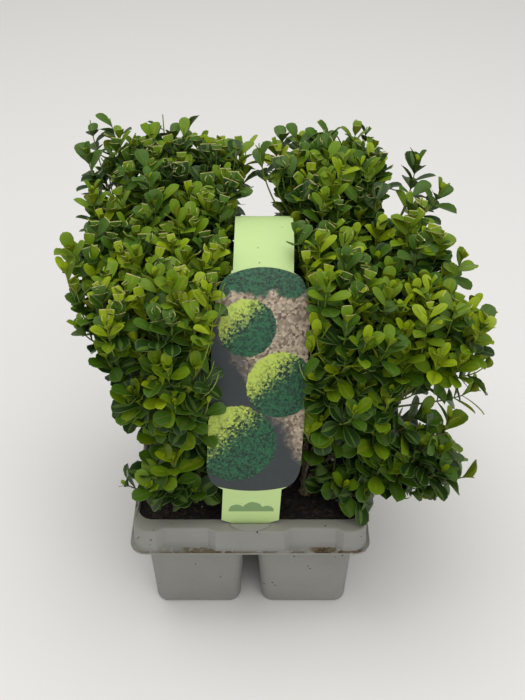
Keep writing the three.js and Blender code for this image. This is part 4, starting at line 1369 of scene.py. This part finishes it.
# The leaf tints stand for age, and where they are dealt out the lighter ones are also painted light and the
# darker ones painted shade.
LEAF_COLOURS = {
    "leaf_old": ((0.017, 0.05, 0.006), 0.36),
    "leaf_grown": ((0.054, 0.13, 0.006), 0.4),
    "leaf_fresh": ((0.14, 0.24, 0.006), 0.42),
    "leaf_new": ((0.27, 0.37, 0.006), 0.45),
    # The pale margin colour is partly the edge's own and partly painted highlight on the thick leaf edge.
    "leaf_margin_highlight": ((0.09, 0.15, 0.03), 0.45),
    "leaf_rib": ((0.1, 0.16, 0.02), 0.5),
    "leaf_underside": ((0.08, 0.14, 0.022), 0.6),
    "leaf_cut": ((0.48, 0.44, 0.18), 0.7),
    "leaf_young_underside": ((0.2, 0.26, 0.01), 0.6),
}


def leaf_outline(s, bluntness):
    """Half the width of a leaf as a share of its greatest. Old leaves are blunt and young ones pointed."""
    t = np.clip((s - PETIOLE_LENGTH) / (1 - PETIOLE_LENGTH), 0, 1)
    greatest = 0.535 + 0.075 * (bluntness - 1.8)
    return np.maximum(t**0.7 * np.sqrt(1 - t**bluntness) / greatest, PETIOLE_WIDTH)


def leaf_quads():
    """The faces of one leaf, the part of it that each belongs to and the station at which each starts."""
    top = [(j, j + 1) for j in range(5)]
    under = [(6, 0), (7, 6), (5, 7)]
    kinds_across = [HIGHLIT_MARGIN, -1, RIB, -1, HIGHLIT_MARGIN, UNDER, UNDER, UNDER]
    faces, kinds, stations = [], [], []
    for i in range(LAST):
        for (a, b), kind in zip(top + under, kinds_across):
            low, high = i * RING, (i + 1) * RING
            faces.append((low + a, high + a, high + b, low + b))
            kinds.append(kind)
            stations.append(i)
    for quad in ((5, 4, 3, 7), (3, 2, 6, 7), (2, 1, 0, 6)):
        faces.append(tuple(LAST * RING + corner for corner in quad))
        faces.append(quad[::-1])
        kinds.extend((UNDER, UNDER))
        stations.extend((LAST, 0))
    return np.array(faces), np.array(kinds), np.array(stations)


LEAF_FACES, LEAF_KINDS, LEAF_STATIONS = leaf_quads()


def leaf_shapes(group):
    """Corners, faces and face materials for a group of leaves."""
    place, along, facing = (np.array([leaf[k] for leaf in group]) for k in range(3))
    length, width, tint, cut, luck = (np.array([leaf[k] for leaf in group]) for k in range(3, 8))
    is_cut = cut < 1
    shares = np.where(is_cut[:, None], CUT_STATIONS * cut[:, None], WHOLE_STATIONS)
    shares[is_cut, -2] -= CUT_EDGE
    side = np.cross(facing, along)
    half = leaf_outline(shares, BLUNTNESS[tint][:, None]) * width[:, None] / 2
    fold = (FOLD + FOLD_PLAY * luck)[:, None, None]
    droop = (DROOP + DROOP_PLAY * ((luck * 7.3) % 1))[:, None, None]
    across = half[:, :, None] * ACROSS
    reach = (shares * length[:, None])[:, :, None]
    lift = np.abs(across) * fold - HOLLOW * across * ACROSS - droop * reach * shares[:, :, None]
    lift[:, :, 6:] -= LEAF_THICKNESS
    points = (
        place[:, None, None]
        + reach[..., None] * along[:, None, None]
        + across[..., None] * side[:, None, None]
        + lift[..., None] * facing[:, None, None]
    )
    first = np.arange(len(group)) * len(WHOLE_STATIONS) * RING
    faces = LEAF_FACES[None] + first[:, None, None]
    kinds = np.where(LEAF_KINDS[None] < 0, tint[:, None], LEAF_KINDS[None])
    young = tint[:, None] > 1
    kinds = np.where(((kinds == HIGHLIT_MARGIN) | (kinds == RIB)) & young, tint[:, None], kinds)
    kinds = np.where((kinds == UNDER) & young, YOUNG_UNDER, kinds)
    kinds = np.where((LEAF_STATIONS >= LAST - 1)[None] & is_cut[:, None], CUT, kinds)
    return placed(points.reshape(-1, 3)), faces.reshape(-1, 4), kinds.reshape(-1).tolist()


leaf_skin, skin_in, skin_out = new_group(
    "leaf_skin",
    [("Colour", "Color", (0.1, 0.2, 0.02, 1)), ("Blotches", "Float", 0.25)],
    [("Colour", "Color"), ("Height", "Float")],
)
blotches = add(leaf_skin, "TexCoord", "Object").patches(190.0, 3.0)
tone = (blotches - 0.5) * skin_in["Blotches"] * 2.0 + 1.0
connect(skin_out["Colour"], skin_in["Colour"].shades(tone))
connect(skin_out["Height"], blotches)

leaf_materials = []
for name, (colour, roughness) in LEAF_COLOURS.items():
    material = new_material(name, colour, roughness, LEAF_SPECULAR)
    skin = use_group(material, leaf_skin, {"Colour": (*colour, 1)})
    dress(material, 0.15 * MM, base_color=skin["Colour"], height=skin["Height"])
    leaf_materials.append(material)

for shoot in shoots:
    pile = Pile()
    pile.add(*leaf_shapes(leaves[shoot["mass"]]))
    foliage = pile.piece("foliage_" + shoot["mass"], leaf_materials)
    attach(foliage, "root")
    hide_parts("leaves_" + shoot["mass"])
